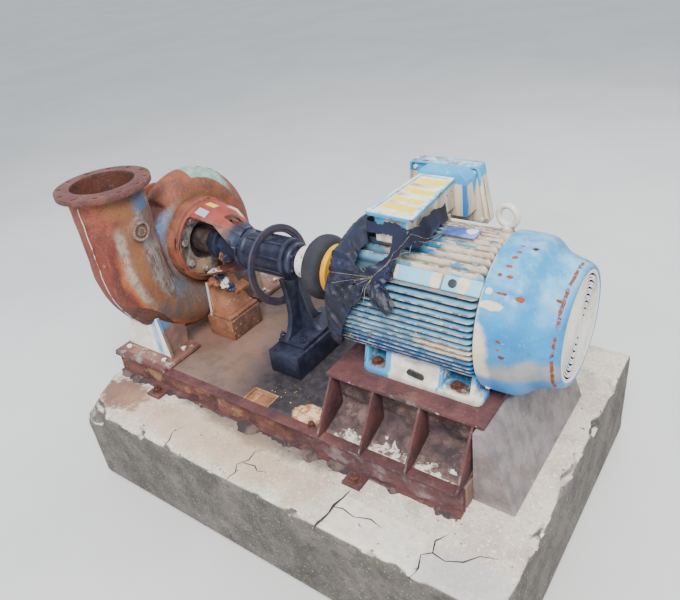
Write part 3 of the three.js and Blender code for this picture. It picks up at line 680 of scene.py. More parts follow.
def pump_rust():
    """Rust in bands that follow the spiral tube, from its outer seam round to the cover."""
    s = Surface("rusted_pump_casting", 0.7, 0.1)
    height = s.math("SUBTRACT", s.along("Z"), DATUM.z)
    low = s.math("MINIMUM", height, 0.0)
    side = s.along("Y")
    out = s.math("SQRT", s.math("ADD", s.both(side, side), s.both(low, low)))
    across = s.math("ADD", s.math("MULTIPLY_ADD", low, -0.14, out), NOZZLE_Y / 1000)
    ahead = s.math("SUBTRACT", s.along("X"), DATUM.x + PUMP_X / 1000)
    turn = s.wobbled(s.math("ARCTAN2", ahead, across), 0.22, 9, detail=5, stretch=(1, 1, 0.4))
    near = s.step(side, 0.02, -0.06)
    s.colour = two_tone(s, 9, "8c4a32", "6a3a2e", 0.38, 0.6, rough=0.7)
    s.over(s.spots(0.52, 0.7, 15, 6, 0.72, stretch=(1, 1, 0.45)), "a8683c", 0.6)
    red = two_tone(s, 8, "7c3327", "541f20", 0.38, 0.62, stretch=(1, 1, 0.4))
    red = s.lay(red, s.spots(0.54, 0.7, 46, 6, 0.75, shift=(1, 2, 3)), "7a5a50", 0.5)
    red = s.lay(red, s.spots(0.54, 0.72, 28, 6, 0.7, stretch=(1, 1, 0.3)), "a8603c", 0.45)
    # Painted light: the red is painted lighter towards the top of the casing.
    painted_light_upper_red = s.step(height, 0.10, 0.36)
    red = s.lay(red, painted_light_upper_red, two_tone(s, 18, "a05238", "7d3c2e", 0.4, 0.62), 0.7)
    s.over(s.both(near, s.step(turn, 0.98, 0.8)), red)
    orange = s.both(s.band(turn, 0.72, 0.92, 0.12), s.step(height, 0.20, 0.05))
    s.over(s.both(near, orange), two_tone(s, 14, "b8652f", "c98552", 0.4, 0.7), 0.75)
    pale = s.both(s.band(turn, 0.88, 1.14, 0.1), s.step(height, 0.30, 0.20))
    pale = s.both(pale, s.spots(0.36, 0.5, 11, 6, 0.7, stretch=(1, 1, 0.35)))
    pale = s.both(pale, s.step(height, -0.26, -0.10))
    s.over(s.both(near, pale), two_tone(s, 40, "b3a595", "8a7868", 0.4, 0.7), 0.8)
    brown = s.both(near, s.band(turn, 1.16, 1.62, 0.12))
    s.over(brown, two_tone(s, 9, "8a5a3a", "735040", 0.4, 0.66, stretch=(1, 1, 0.3)), 0.9)
    grey = s.both(near, s.band(turn, 1.56, 2.32, 0.14))
    grey_rust = two_tone(s, 34, "9a908c", "63564f", 0.4, 0.62, stretch=(1, 1, 0.4), bend=1.5)
    s.over(grey, grey_rust, 0.92)
    s.over(s.patch((-1190, -300, 250), (60, 60, 110), 0.4, 0.6, 12), "6d4a3c", 0.75)
    # Blue-grey painted shade along the valley between the spiral and the drum.
    valley_shade = s.patch((-1262, -192, 10), (64, 56, 270), 0.4, 0.7, 14)
    s.over(valley_shade, two_tone(s, 22, "5d7590", "8b97a3", 0.4, 0.66), 0.85)
    s.over(s.patch((-1225, -215, -210), (70, 90, 90), 0.4, 0.8, 14), "66798e", 0.7)
    s.over(s.patch((-1180, -345, 362), (46, 52, 46), 0.35, 0.9, 16), "3f6f9e", 0.85)
    s.over(s.patch((-1200, -440, 370), (70, 90, 60), 0.4, 0.8, 12), "8a5a34", 0.7)
    seep = s.both(near, s.both(s.band(turn, 2.5, 2.78, 0.1), s.step(height, -0.16, 0.0)))
    s.over(seep, two_tone(s, 30, "3f78ad", "7f9fb8"), 0.85)
    belly = s.both(s.step(height, -0.14, -0.24), s.step(turn, 0.78, 0.98))
    belly_rust = two_tone(s, 11, "785848", "5a5251", 0.38, 0.6, stretch=(1, 1, 0.3), bend=1.0)
    s.over(belly, belly_rust, 0.85)
    neck = s.both(s.step(height, 0.34, 0.41), s.step(turn, 0.9, 1.5))
    s.over(neck, "47302e", 0.7)
    olive = s.patch((-1240, 0, 0), (60, 262, 262), 0.09, 0.12, 9)
    s.over(olive, "7c5a34", 0.6)
    mint = s.both(s.step(s.wobbled(s.reach(), 0.012, 16), 0.312, 0.320), s.step(side, 0.055, 0.065))
    mint = s.both(mint, s.step(height, 0.10, 0.16))
    mint = s.both(mint, s.step(side, 0.30, 0.24))
    s.over(mint, two_tone(s, 25, "9db5a8", "7f9f92"))
    flange = s.step(height, 0.412, 0.424)
    s.over(flange, two_tone(s, 10, "56302f", "6e4238", 0.4, 0.64))
    inside = s.patch((PUMP_X, NOZZLE_Y, 300), (150.6, 150.6, 2000), 0.001, 0.0)
    s.over(inside, two_tone(s, 12, "5c3226", "3d2520", 0.4, 0.64))
    boss = s.patch((-1160, -392, 230), (40, 60, 60), 0.06, 0.1, 20)
    s.over(boss, two_tone(s, 40, "6f5044", "4f3e3a", 0.42, 0.62), 0.8)
    rim = s.both(boss, s.past("X", -1154, -1151.5))
    s.over(rim, two_tone(s, 40, "98857a", "6f564a", 0.45, 0.6), 0.75)
    grit = s.spots(0.50, 0.64, 75, 8, 0.8)
    s.over(grit, "3f2823", 0.4)
    light_grit = s.spots(0.50, 0.66, 110, 8, 0.8, shift=(7, 3, 1))
    s.over(light_grit, "a98a70", 0.26)
    chips = s.spots(0.63, 0.66, 22, 8, 0.75, shift=(1, 8, 2))
    s.over(chips, "b39a86", 0.35)
    specks = s.spots(0.64, 0.74, 120, 4, 0.7)
    s.over(specks, "3d2420", 0.55)
    s.bump(s.both(grey, s.noise(48, 6, 0.75, stretch=(1, 1, 0.5), bend=1.5)), 7)
    s.bump(s.noise(35, 6, 0.7), 2.2)
    s.bump(s.noise(180, 3, 0.6), 0.7)
    rough = s.blend(s.noise(12, 4), 0.5, 0.85)
    return s.finish(rough)


def bracket_paint():
    s = Surface("bearing_bracket_paint", 0.6, 0.1)
    s.colour = two_tone(s, 9, "8c5036", "6f4237", 0.38, 0.62)
    s.over(s.spots(0.54, 0.68, 16, 6, 0.75), "a8765a", 0.7)
    s.over(s.spots(0.6, 0.7, 90, 5, 0.75), "4a2c24", 0.5)
    arm = s.both(s.past("Z", 100, 150), s.past("X", -1190, -1160))
    s.over(arm, two_tone(s, 12, "a3423a", "8c3532", 0.4, 0.62), 0.85)
    fades = s.wobbled(s.along("X"), 0.07, 8)
    brown = s.step(fades, -0.70, -0.62)
    brown = s.both(brown, s.step(s.facing("Z"), 0.75, 0.5))
    s.over(brown, two_tone(s, 16, "7a5446", "5c4644", 0.4, 0.62), 0.85)
    near_face = s.both(s.step(s.facing("Y"), -0.35, -0.6), s.past("X", -1130, -1070))
    s.over(near_face, two_tone(s, 30, "8a6a58", "5f4c46", 0.42, 0.62), 0.85)
    oily = s.step(fades, -0.56, -0.50)
    s.over(oily, two_tone(s, 12, "2c3248", "1d2233"))
    s.over(s.patch((-985, 78, 118), (70, 16, 40), 0.3, 0.5, 18), "b9ad97", 0.85)
    s.over(s.panel((-1126, 34, 184), (30, 19, 40)), "dcc850")
    s.over(s.panel((-1124, -42, 178), (33, 21, 40)), "a7b3d0")
    far_edge = s.both(s.past("Y", 70, 78), s.band(s.along("X"), -0.66, -0.50, 0.02))
    s.over(far_edge, "cdbfa6", 0.9)
    lower = s.past("Z", -60, -160)
    s.over(lower, "6b3f30", 0.6)
    s.bump(s.noise(50, 6, 0.7), 1.6)
    rough = s.blend(oily, 0.7, 0.32)
    return s.finish(rough)


def cover_iron():
    s = Surface("cover_iron", 0.65, 0.2)
    s.colour = two_tone(s, 22, "8f857d", "5b5350", 0.4, 0.6)
    s.over(s.spots(0.58, 0.7, 30, 5), "8f5b3c", 0.8)
    s.over(s.patch((-1196, -75, -132), (30, 62, 44), 0.3, 0.7, 24), "b3906f", 0.85)
    inner = s.step(s.reach(), 0.108, 0.104)
    s.over(inner, two_tone(s, 20, "2a2220", "4a3a34"))
    s.bump(s.noise(50, 6, 0.75), 2.4)
    return s.finish()


def oily_iron():
    s = Surface("oily_black_iron", 0.3, 0.35)
    s.colour = two_tone(s, 10, "242738", "363a4e", 0.4, 0.65)
    # Lighter blue-grey spots are painted highlights on the oily iron.
    s.over(s.spots(0.60, 0.72, 20, 5, 0.7), "434a5f")
    dust = s.both(s.step(s.facing("Z"), 0.3, 0.95), s.spots(0.45, 0.7, 40, 5, 0.7))
    s.over(dust, "4b4c57", 0.45)
    s.bump(s.noise(60, 5, 0.7), 1.2)
    rough = s.blend(s.noise(16, 5), 0.22, 0.6)
    return s.finish(rough)


def block_rust():
    s = Surface("block_rust", 0.85, 0.1)
    s.colour = two_tone(s, 10, "9a664a", "7b4d38", 0.38, 0.62)
    low = s.past("Z", -402, -408)
    dark = s.both(s.step(s.facing("X"), 0.6, 0.9), low)
    s.over(dark, two_tone(s, 30, "5e4436", "3f302a"), 0.8)
    edge = s.panel((-1182, -97, -320), (10, 12, 102), 0.02)
    s.over(s.both(edge, s.step(s.facing("Y"), -0.6, -0.9)), "cfc3b4")
    s.over(s.spots(0.6, 0.7, 50, 5), "b98f70")
    s.bump(s.noise(50, 7, 0.7), 3)
    return s.finish()


def motor_paint(name, undercoat=0.5, lower=True):
    """Sky blue paint that has flaked to a cream undercoat, with rust where that has gone too."""
    s = Surface(name, 0.5, 0.0)
    blue = two_tone(s, 5, "5fb0d6", "4698c6", 0.35, 0.65)
    cream = two_tone(s, 20, "e2d5bf", "c7b8a4", 0.4, 0.7)
    flaked = s.spots(0.64 - undercoat * 0.1, 0.66 - undercoat * 0.1, 9, 7, 0.66, shift=(0.4, 0, 0))
    if lower:
        blue = two_tone(s, 9, "7fb2ca", "4e93b8", 0.35, 0.65)
        deep = s.step(s.wobbled(s.along("Z"), 0.05, 7), 1.12, 1.04)
        blue = s.lay(blue, deep, two_tone(s, 9, "1f6fae", "2d7db5"))
        teal = s.patch((150, -70, 300), (105, 110, 80), 0.14, 0.5, 14)
        blue = s.lay(blue, teal, "32789c")
        top = s.patch((270, 0, 300), (300, 265, 130), 0.1, 0.35, 12)
        gaps = s.spots(0.62, 0.58, 16, 5, 0.6, stretch=(0.5, 1.6, 1), shift=(2, 0, 0))
        top = s.both(s.both(top, gaps), s.math("SUBTRACT", 1.0, teal))
        low_band = s.patch((365, -285, -40), (125, 60, 34), 0.12, 0.5, 22)
        flaked = s.either(flaked, s.either(top, low_band))
        pad = s.either(s.patch((110, -217, 206), (20, 40, 40), 0.1, 0.3, 30),
                       s.patch((292, -217, 206), (21, 40, 40), 0.1, 0.3, 30))
        pad = s.either(pad, s.patch((398, -217, 206), (24, 34, 34), 0.1, 0.4, 30))
        pads = s.panel((290, -225, 212), (182, 34, 38), 0.02)
        on_pad = s.both(pads, s.step(s.reach(), 0.2965, 0.2975))
        blue = s.lay(blue, pads, two_tone(s, 26, "7cc4e0", "93c3cf", 0.45, 0.7))
        flaked = s.either(s.both(flaked, s.math("SUBTRACT", 1.0, on_pad)), pad)
    s.colour = s.lay(blue, flaked, cream)
    rust = s.spots(0.665, 0.70, 26, 7, 0.74)
    s.over(rust, two_tone(s, 70, "8d4a2b", "5f3226"))
    dirt = s.spots(0.5, 0.75, 12, 6, 0.7, stretch=(1, 1, 0.4))
    s.over(dirt, "6f6a62", 0.25)
    if lower:
        tips = s.step(s.wobbled(s.reach(), 0.004, 40, detail=6), 0.2965, 0.2995)
        worn = s.both(tips, s.math("SUBTRACT", 1.0, pads))
        s.over(worn, two_tone(s, 26, "5d4438", "b3a596", 0.42, 0.6), 0.85)
        # Painted shade: dark colour deep in the gaps between the fins.
        fin_gap_shade = s.step(s.reach(), 0.288, 0.268)
        s.over(fin_gap_shade, "2e2c2c", 0.8)
        spots = s.spots(0.60, 0.66, 85, 6, 0.8, shift=(4, 4, 0))
        s.over(spots, "6a4a3a", 0.5)
        low_rust = s.both(pads, s.step(s.wobbled(s.along("Z"), 0.006, 40), DATUM.z + 0.182,
                                       DATUM.z + 0.176))
        s.over(low_rust, "7a4a38", 0.7)
    s.bump(flaked, -0.5)
    s.bump(s.noise(70, 5, 0.65), 0.6)
    rough = s.blend(flaked, 0.42, 0.8)
    return s.finish(rough)


def cowl_paint():
    s = Surface("cowl_paint", 0.42)
    blue = two_tone(s, 5, "128fcc", "0672b2", 0.35, 0.68)
    # Painted light: the upward faces are painted a lighter blue, in patches.
    painted_top_light = s.both(s.step(s.facing("Z"), 0.35, 0.95), s.spots(0.35, 0.6, 10, 6, 0.7))
    blue = s.lay(blue, painted_top_light, "7cc9e0", 0.7)
    chips = s.spots(0.58, 0.64, 70, 6, 0.8, shift=(5, 1, 0))
    blue = s.lay(blue, chips, "a9c3c8", 0.32)
    cream = two_tone(s, 22, "dccfb8", "c3b49e", 0.4, 0.7)
    grey = s.both(s.step(s.facing("Z"), 0.1, 0.8), s.spots(0.46, 0.62, 34, 6, 0.72))
    s.colour = s.lay(blue, grey, "93a8a8", 0.2)
    low_left = s.patch((470, -285, -60), (62, 90, 190), 0.2, 0.45, 12)
    low_edge = s.patch((640, -262, -72), (190, 70, 56), 0.45, 0.5, 8)
    s.over(low_edge, two_tone(s, 12, "a99f8c", "8f8f88"), 0.85)
    s.over(low_left, cream)
    near_screw = s.patch((520, -254, 176), (46, 40, 13), 0.1, 0.5, 40)
    s.over(near_screw, cream)
    rim = s.past("X", 481, 477)
    s.over(s.both(rim, s.spots(0.4, 0.5, 14)), cream)
    bottom = s.both(s.past("Z", -90, -130), s.past("X", 660, 620))
    s.over(bottom, "2f86cc", 0.9)
    rust = s.spots(0.67, 0.69, 44, 7, 0.72, stretch=(1, 1, 1.4))
    for centre, size in COWL_RUST:
        rust = s.either(rust, s.patch(centre, (size * 0.8, size * 0.5, size * 0.5), 0.25, 1.3, 70, size))
    mouth_line = s.band(s.wobbled(s.along("X"), 0.012, 14), DATUM.x + 0.728, DATUM.x + 0.740, 0.002)
    mouth_rust = s.both(mouth_line, s.spots(0.44, 0.48, 22, 6, 0.72, shift=(3, 0, 0)))
    rust = s.either(rust, mouth_rust)
    for start, end, width in COWL_RUST_LINES:
        middle = [(a + b) / 2 for a, b in zip(start, end)]
        half = [max(abs(a - b) / 2, width) for a, b in zip(start, end)]
        rust = s.either(rust, s.patch(middle, half, 0.15, 0.5, 50))
    s.over(rust, two_tone(s, 60, "8f4a2c", "5f3226"))
    s.bump(rust, -0.6)
    s.bump(s.noise(9, 4), 1.2)
    s.bump(s.noise(120, 4, 0.7), 0.4)
    rough = s.blend(s.either(rust, low_left), 0.4, 0.8)
    return s.finish(rough)


def terminal_paint():
    s = Surface("terminal_box_paint", 0.55)
    blue = two_tone(s, 6, "43a9d6", "2f92c8", 0.36, 0.66)
    blue = s.lay(blue, s.spots(0.58, 0.66, 60, 6, 0.75), "c8d6d4", 0.6)
    beige = two_tone(s, 26, "d9ccb8", "b3a28b", 0.42, 0.62, stretch=(1, 1, 0.06))
    grey_streak = s.spots(0.56, 0.66, 34, 4, 0.6, stretch=(1, 1, 0.05), shift=(2, 1, 0))
    side = s.lay(beige, grey_streak, "9d9386", 0.5)
    corner = s.panel((214, 188, 300), (10, 14, 140), 0.08)
    side = s.lay(side, corner, "2a76ba")
    wedge = s.math("MULTIPLY_ADD", s.math("ABSOLUTE", s.math("SUBTRACT", s.along("Y"), 0.252)), 3.2,
                   DATUM.z + 0.335)
    on_end = s.both(s.past("X", 208, 212), s.past("Y", 282, 274))
    side = s.lay(side, s.both(on_end, s.step(s.math("SUBTRACT", s.along("Z"), wedge), -0.004, 0.004)),
                 "3f97d0")
    joint = s.both(s.band(s.along("Y"), 0.2875, 0.2935, 0.001), s.spots(0.3, 0.45, 30, 5))
    side = s.lay(side, joint, "5f4a40", 0.9)
    ragged = s.wobbled(s.along("Z"), 0.022, 24, stretch=(1, 1, 0.12))
    upper = s.step(ragged, DATUM.z + 0.402, DATUM.z + 0.410)
    s.colour = s.lay(side, upper, blue)
    rust = s.spots(0.67, 0.70, 30, 6, 0.7)
    s.over(rust, "7b4630")
    edge = s.both(s.past("Z", 452, 454.5), s.spots(0.35, 0.5, 20, 5))
    s.over(edge, two_tone(s, 30, "d8d2c4", "8a5f4c"), 0.8)
    s.bump(s.noise(60, 5), 0.6)
    return s.finish()


def lid_paint():
    """Four faded yellow bands with worn places between them, inside a pale blue rim."""
    s = Surface("lead_lid_paint", 0.8)
    place = s.math("ADD", s.along("Y"), s.both(s.along("X"), 0.05))
    waved = s.wobbled(place, 0.014, 9)
    s.colour = two_tone(s, 30, "f4eddb", "dfd3bd", 0.4, 0.7)
    for middle, half in ((-112, 26), (-46, 20), (42, 22), (142, 30)):
        band = s.band(waved, (middle - half) / 1000, (middle + half) / 1000, 0.006)
        worn = s.spots(0.68, 0.60, 16, 5, 0.65, shift=(middle * 0.01, 0, 0))
        s.over(s.both(band, worn), two_tone(s, 40, "f2d92c", "ecd658", 0.4, 0.66))
    for middle, half, start in ((-5, 15, -60), (94, 16, -30), (-76, 9, -60)):
        band = s.band(waved, (middle - half) / 1000, (middle + half) / 1000, 0.01)
        left = s.step(s.wobbled(s.along("X"), 0.05, 12), DATUM.x + 0.165 + start / 1000,
                      DATUM.x + 0.10 + start / 1000)
        s.over(s.both(band, left), two_tone(s, 40, "b05f3c", "c98a68"), 0.9)
    speckle = s.spots(0.58, 0.66, 90, 5, 0.75)
    s.over(speckle, "a89c88", 0.6)
    inner = s.panel((100, -16, 440), (80, 182, 60), 0.02)
    rim = s.math("SUBTRACT", 1.0, inner)
    s.over(rim, two_tone(s, 26, "6fbcd9", "dcdcd2", 0.46, 0.56))
    left_blue = s.both(s.step(s.wobbled(s.along("X"), 0.012, 16), DATUM.x + 0.046, DATUM.x + 0.036), inner)
    s.over(left_blue, two_tone(s, 40, "a9cfd6", "e3dccb", 0.44, 0.58), 0.8)
    side = s.step(s.facing("Z"), 0.6, 0.3)
    s.over(side, two_tone(s, 24, "4ba6d2", "7c5240", 0.56, 0.64))
    rust = s.spots(0.63, 0.67, 40, 6, 0.74)
    s.over(s.both(rust, s.either(rim, 0.25)), "7d4c38")
    s.bump(s.noise(70, 6, 0.72), 1.8)
    return s.finish()


def lead_box_paint():
    s = Surface("lead_box_paint", 0.55)
    blue = two_tone(s, 8, "58a9cf", "3d8cb8", 0.36, 0.66)
    cream = two_tone(s, 24, "ddd0bb", "b8a892", 0.42, 0.62, stretch=(1, 1, 0.2))
    end = s.step(s.facing("X"), 0.3, 0.6)
    bare = s.both(s.patch((112, -196, 396), (34, 30, 16), 0.15, 0.5, 40), s.step(s.facing("Y"), -0.4, -0.7))
    low = s.step(s.wobbled(s.along("Z"), 0.01, 24), DATUM.z + 0.362, DATUM.z + 0.350)
    s.colour = s.lay(blue, s.either(s.either(end, bare), low), cream)
    rust = s.spots(0.62, 0.67, 34, 6, 0.72)
    s.over(rust, "7b4a36")
    s.bump(s.noise(60, 5), 0.8)
    return s.finish()


def blank_plate():
    s = Surface("blank_blue_plate", 0.4, 0.2)
    s.colour = two_tone(s, 12, "3f5fb0", "6f8ad0", 0.4, 0.65)
    bare = s.patch((330, 6, 304), (22, 22, 20), 0.15, 0.6, 50)
    s.over(bare, "d3daea")
    return s.finish()


def black_sheet():
    s = Surface("black_plastic_sheet", 0.3)
    s.colour = two_tone(s, 9, "060a1d", "0f1738", 0.4, 0.66)
    # A lighter bluish tone on the upward faces: dust, and painted sheen.
    dust = s.both(s.step(s.facing("Z"), 0.2, 0.9), s.spots(0.4, 0.7, 24, 6, 0.7))
    s.over(dust, "232b48", 0.3)
    s.bump(s.noise(26, 3, 0.5, stretch=(1, 1, 0.4), bend=1.2), 2.0)
    s.bump(s.noise(70, 3, 0.5, bend=1.0), 0.5)
    return s.finish(s.blend(s.noise(20, 4), 0.46, 0.60))


def recess_mortar_surface():
    s = Surface("recess_mortar", 0.95)
    s.colour = two_tone(s, 9, "74493f", "543833", 0.38, 0.62)
    tan = s.both(s.spots(0.5, 0.62, 5, 6, 0.7), s.past("X", -380, -550))
    s.over(tan, two_tone(s, 24, "a87c5a", "7d5a48", 0.42, 0.62))
    purple = s.past("X", -380, -200)
    s.over(purple, two_tone(s, 14, "5d4244", "8c7d7c", 0.46, 0.64), 0.75)
    s.over(s.spots(0.6, 0.72, 60, 4, 0.7), "3a2c29")
    s.bump(s.noise(40, 7, 0.7), 4)
    return s.finish()


def slope_mortar():
    s = Surface("slope_mortar", 0.95)
    s.colour = two_tone(s, 12, "8f8684", "756d6b", 0.36, 0.68)
    streak = s.noise(16, 5, 0.7, stretch=(1.2, 1, 0.16))
    s.over(s.step(streak, 0.5, 0.72), "6d625c", 0.35)
    s.over(s.spots(0.62, 0.74, 60, 4, 0.7), "c7bdb0")
    s.over(s.spots(0.55, 0.7, 7, 5, 0.7, shift=(3, 0, 1)), "7a5140", 0.6)
    s.bump(s.noise(30, 7, 0.7), 6)
    s.bump(s.noise(170, 3), 1.5)
    return s.finish()


def volute_foot_paint():
    """White paint on the foot's web, with a blue edge, on a rusty plate."""
    s = Surface("volute_foot_paint", 0.6)
    white = two_tone(s, 14, "e9e3d9", "cfc5b6", 0.4, 0.7)
    s.colour = s.lay(white, s.spots(0.62, 0.68, 26, 6, 0.74), "9a6a4e")
    blue_edge = s.band(s.wobbled(s.along("X"), 0.02, 9, stretch=(1, 1, 0.4)), DATUM.x - 1.285,
                       DATUM.x - 1.245, 0.012)
    s.over(blue_edge, two_tone(s, 14, "3f86bf", "9dbcd4", 0.4, 0.7), 0.9)
    rib = s.both(s.step(s.facing("X"), 0.6, 0.8), s.past("X", -1250, -1240))
    rib_rust = two_tone(s, 12, "6f5a58", "8f6a54", 0.4, 0.64)
    rib_top = s.step(s.wobbled(s.along("Z"), 0.05, 9), DATUM.z - 0.36, DATUM.z - 0.33)
    rib_rust = s.lay(rib_rust, rib_top, "4f86b4", 0.8)
    s.over(rib, rib_rust)
    plate = s.past("Z", -500, -506)
    plate_rust = two_tone(s, 9, "8a6250", "6a4640", 0.4, 0.62)
    plate_rust = s.lay(plate_rust, s.spots(0.52, 0.62, 18, 6, 0.75), "b5a79a", 0.75)
    edge = s.past("Y", -475, -490)
    plate_rust = s.lay(plate_rust, edge, two_tone(s, 16, "5e3434", "8c8580", 0.5, 0.62), 0.9)
    s.over(plate, plate_rust)
    s.bump(s.noise(50, 6, 0.7), 1.6)
    return s.finish()


def feet_paint():
    s = Surface("motor_feet_paint", 0.6)
    blue = two_tone(s, 7, "4fa3d2", "3c8cc4", 0.36, 0.66)
    cream = two_tone(s, 18, "e4ded1", "c2b8a8", 0.4, 0.7)
    middle = s.panel((190, -270, -225), (110, 60, 58), 0.03)
    right = s.patch((420, -290, -250), (90, 80, 60), 0.2, 0.6, 14)
    loss = s.either(s.either(middle, right), s.spots(0.57, 0.6, 10, 6, 0.7))
    s.colour = s.lay(blue, loss, cream)
    pockets = s.either(s.patch((10, -232, -262), (52, 34, 30), 0.3, 0.6, 22),
                       s.patch((385, -232, -262), (60, 34, 34), 0.3, 0.6, 22))
    s.over(pockets, two_tone(s, 30, "5d4238", "8f877e", 0.42, 0.6))
    rust = s.spots(0.62, 0.67, 26, 6, 0.74)
    s.over(rust, two_tone(s, 50, "84503a", "a86d4a"))
    s.bump(loss, -0.5)
    s.bump(s.noise(60, 5, 0.65), 1.2)
    return s.finish()


def simple(name, roughness, metallic, tones, spots=(), relief=()):
    """Two tones with spots of other colours over them. Reliefs are a noise and a depth in millimetres."""
    s = Surface(name, roughness, metallic)
    s.colour = two_tone(s, *tones)
    for levels, code, share in spots:
        s.over(s.spots(*levels), code, share)
    for levels, depth in relief:
        s.bump(s.noise(*levels), depth)
    return s.finish()


PAINTS = {
    "concrete": concrete(), "grout": grout(), "mortar": mortar(), "base": base_rust(), "pump": pump_rust(),
    "bracket": bracket_paint(), "cover": cover_iron(), "oily": oily_iron(), "block": block_rust(),
    "motor": motor_paint("motor_paint", 0.6), "shield": motor_paint("shield_paint", 0.2),
          "cowl": cowl_paint(),
    "terminal": terminal_paint(), "lid": lid_paint(), "lead_box": lead_box_paint(), "plate": blank_plate(),
    "sheet": black_sheet(), "recess": recess_mortar_surface(), "slope": slope_mortar(),
    "foot": volute_foot_paint(), "feet": feet_paint(),
    "white_mortar": simple("white_mortar", 0.95, 0, (40, "d9d0c4", "6f6259", 0.46, 0.6),
                           relief=[((70, 6, 0.7), 5)]),
    "ragged": simple("ragged_mortar", 0.95, 0, (14, "3a3234", "6b5850", 0.42, 0.62),
                     relief=[((60, 6, 0.75), 5)]),
    "ring": simple("ring_iron", 0.5, 0.3, (12, "37364a", "4a4048", 0.4, 0.62),
                   [((0.6, 0.74, 40, 5, 0.7), "6a5a60", 1)], [((80, 5, 0.7), 0.9)]),
    "grille": simple("grille_paint", 0.6, 0, (16, "f0ece2", "d9d2c4", 0.4, 0.7),
                     [((0.56, 0.66, 50, 6, 0.75), "a39b8e", 0.6),
                      ((0.64, 0.69, 24, 6, 0.7, (1, 1, 1), (2, 2, 2)), "8d5b41", 0.8)],
                     [((60, 5, 0.7), 0.6)]),
    "cream": simple("cream_paint", 0.6, 0, (12, "ddd6c6", "c8bda9", 0.4, 0.7),
                    [((0.6, 0.68, 30, 6, 0.7), "8c7560", 1)], [((70, 5), 0.7)]),
    "rubber": simple("tyre_rubber", 0.75, 0, (9, "1e1f27", "2e2f37", 0.4, 0.65), relief=[((90, 4), 0.5)]),
    "yellow": simple("golden_yellow_paint", 0.4, 0, (10, "e8ac22", "d09318", 0.4, 0.65),
                     [((0.64, 0.7, 60, 5, 0.7), "7d5a28", 1)], [((50, 4), 0.5)]),
    "steel": simple("dull_steel", 0.42, 0.75, (14, "6d6a68", "4c4846", 0.4, 0.65),
                    [((0.58, 0.7, 30, 5), "6e4e3b", 1)], [((60, 4), 0.4)]),
    "bolt": simple("bolt_rust", 0.8, 0.3, (40, "6a4234", "4a3029", 0.4, 0.6),
                   [((0.6, 0.7, 90, 4), "8f6247", 1)], [((120, 4), 0.8)]),
    "cover_bolt": simple("pale_bolts", 0.6, 0.4, (30, "9a918c", "6f5f58", 0.42, 0.62),
                         relief=[((120, 4), 0.6)]),
    "seam": simple("casting_seam", 0.8, 0, (24, "c9bdb3", "8f5f50", 0.5, 0.62), relief=[((120, 4), 0.8)]),
    "fan": simple("dusty_fan", 0.8, 0, (12, "2c2a28", "443f3a", 0.4, 0.65), relief=[((70, 4), 0.5)]),
    # Black for the plug, and for the pieces that stand in as painted shade inside the foot slots.
    "black": simple("black_plug_and_slot_shade", 0.5, 0, (20, "17181b", "2a2b2e")),
    "string": simple("string_fibre", 0.9, 0, (60, "8f867a", "5f584f")),
    "floor": simple("studio_floor", 0.9, 0, (0.6, "d9d8d5", "d3d2cf")),
}


def paint(obj, name, slot=None, body="base"):
    obj.data.materials.clear()
    obj.data.materials.append(PAINTS[name])
    if slot:
        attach(obj, body)
    return obj


def put(obj, name, slot, *nodes, body="base"):
    """Paints a finished piece, rides it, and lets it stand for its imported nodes."""
    paint(obj, name, slot, body)
    if nodes:
        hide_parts(*nodes)
    return obj


make_camera()
make_studio()

# Small helpers for the pieces

def copy_of(node):
    """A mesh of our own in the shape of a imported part, ready for rounding."""
    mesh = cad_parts[node].data.copy()
    obj = bpy.data.objects.new(node + "_look", mesh)
    bpy.context.scene.collection.objects.link(obj)
    work = bmesh.new()
    work.from_mesh(mesh)
    bmesh.ops.remove_doubles(work, verts=work.verts, dist=1e-5)
    bmesh.ops.dissolve_limit(work, angle_limit=math.radians(0.5), verts=work.verts, edges=work.edges)
    work.to_mesh(mesh)
    work.free()
    return obj


def refined(node, edge, colour, slot, body="base", smooth=35):
    obj = copy_of(node)
    rounded(obj, edge, 2, 30, smooth)
    return put(obj, colour, slot, node, body=body)


def curve(start, bend, end, count=10):
    """Points of a quadratic curve without its first point."""
    points = []
    for k in range(1, count + 1):
        t = k / count
        shares = ((1 - t) ** 2, 2 * t * (1 - t), t * t)
        places = zip(start, bend, end)
        points.append(tuple(shares[0] * a + shares[1] * b + shares[2] * c for a, b, c in places))
    return points


def bolt_circle(count, radius, x, across, height, phase=0.5):
    places = [(x, y, z) for y, z in circle(count, radius, phase)]
    bolts = [hex_bolt(place, (1, 0, 0), across, height, turn=0.3 * k) for k, place in enumerate(places)]
    return joined("bolts", bolts)


def level_bolts(places, across, height, stud=0):
    bolts = [hex_bolt(place, (0, 0, 1), across, height, stud=stud,
                      turn=0.4 * k) for k, place in enumerate(places)]
    return joined("bolts", bolts)


# Concrete plinth with chipped edges, a broken corner and cracks

PLINTH_LEFT, PLINTH_RIGHT, PLINTH_HALF = -1600, 800, 815
BROKEN_CORNER = (-1600, -815)
CRACKS = (
    ((-470, -825), (-455, -760), (-482, -720), (-450, -675), (-462, -620), (-430, -590)),
    ((-462, -700), (-400, -688), (-372, -706), (-330, -692)),
    ((20, -825), (34, -780), (40, -730), (36, -690), (48, -640), (52, -596)),
    ((36, -700), (80, -688), (140, -700), (205, -676), (262, -690)),
    ((450, -825), (470, -770), (452, -720), (486, -690), (540, -700), (600, -672), (640, -620),
     (700, -600)),
    ((486, -690), (470, -640), (500, -590)),
    ((-900, -825), (-884, -770), (-915, -720), (-896, -660)),
)


WIDE_CRACK = 2


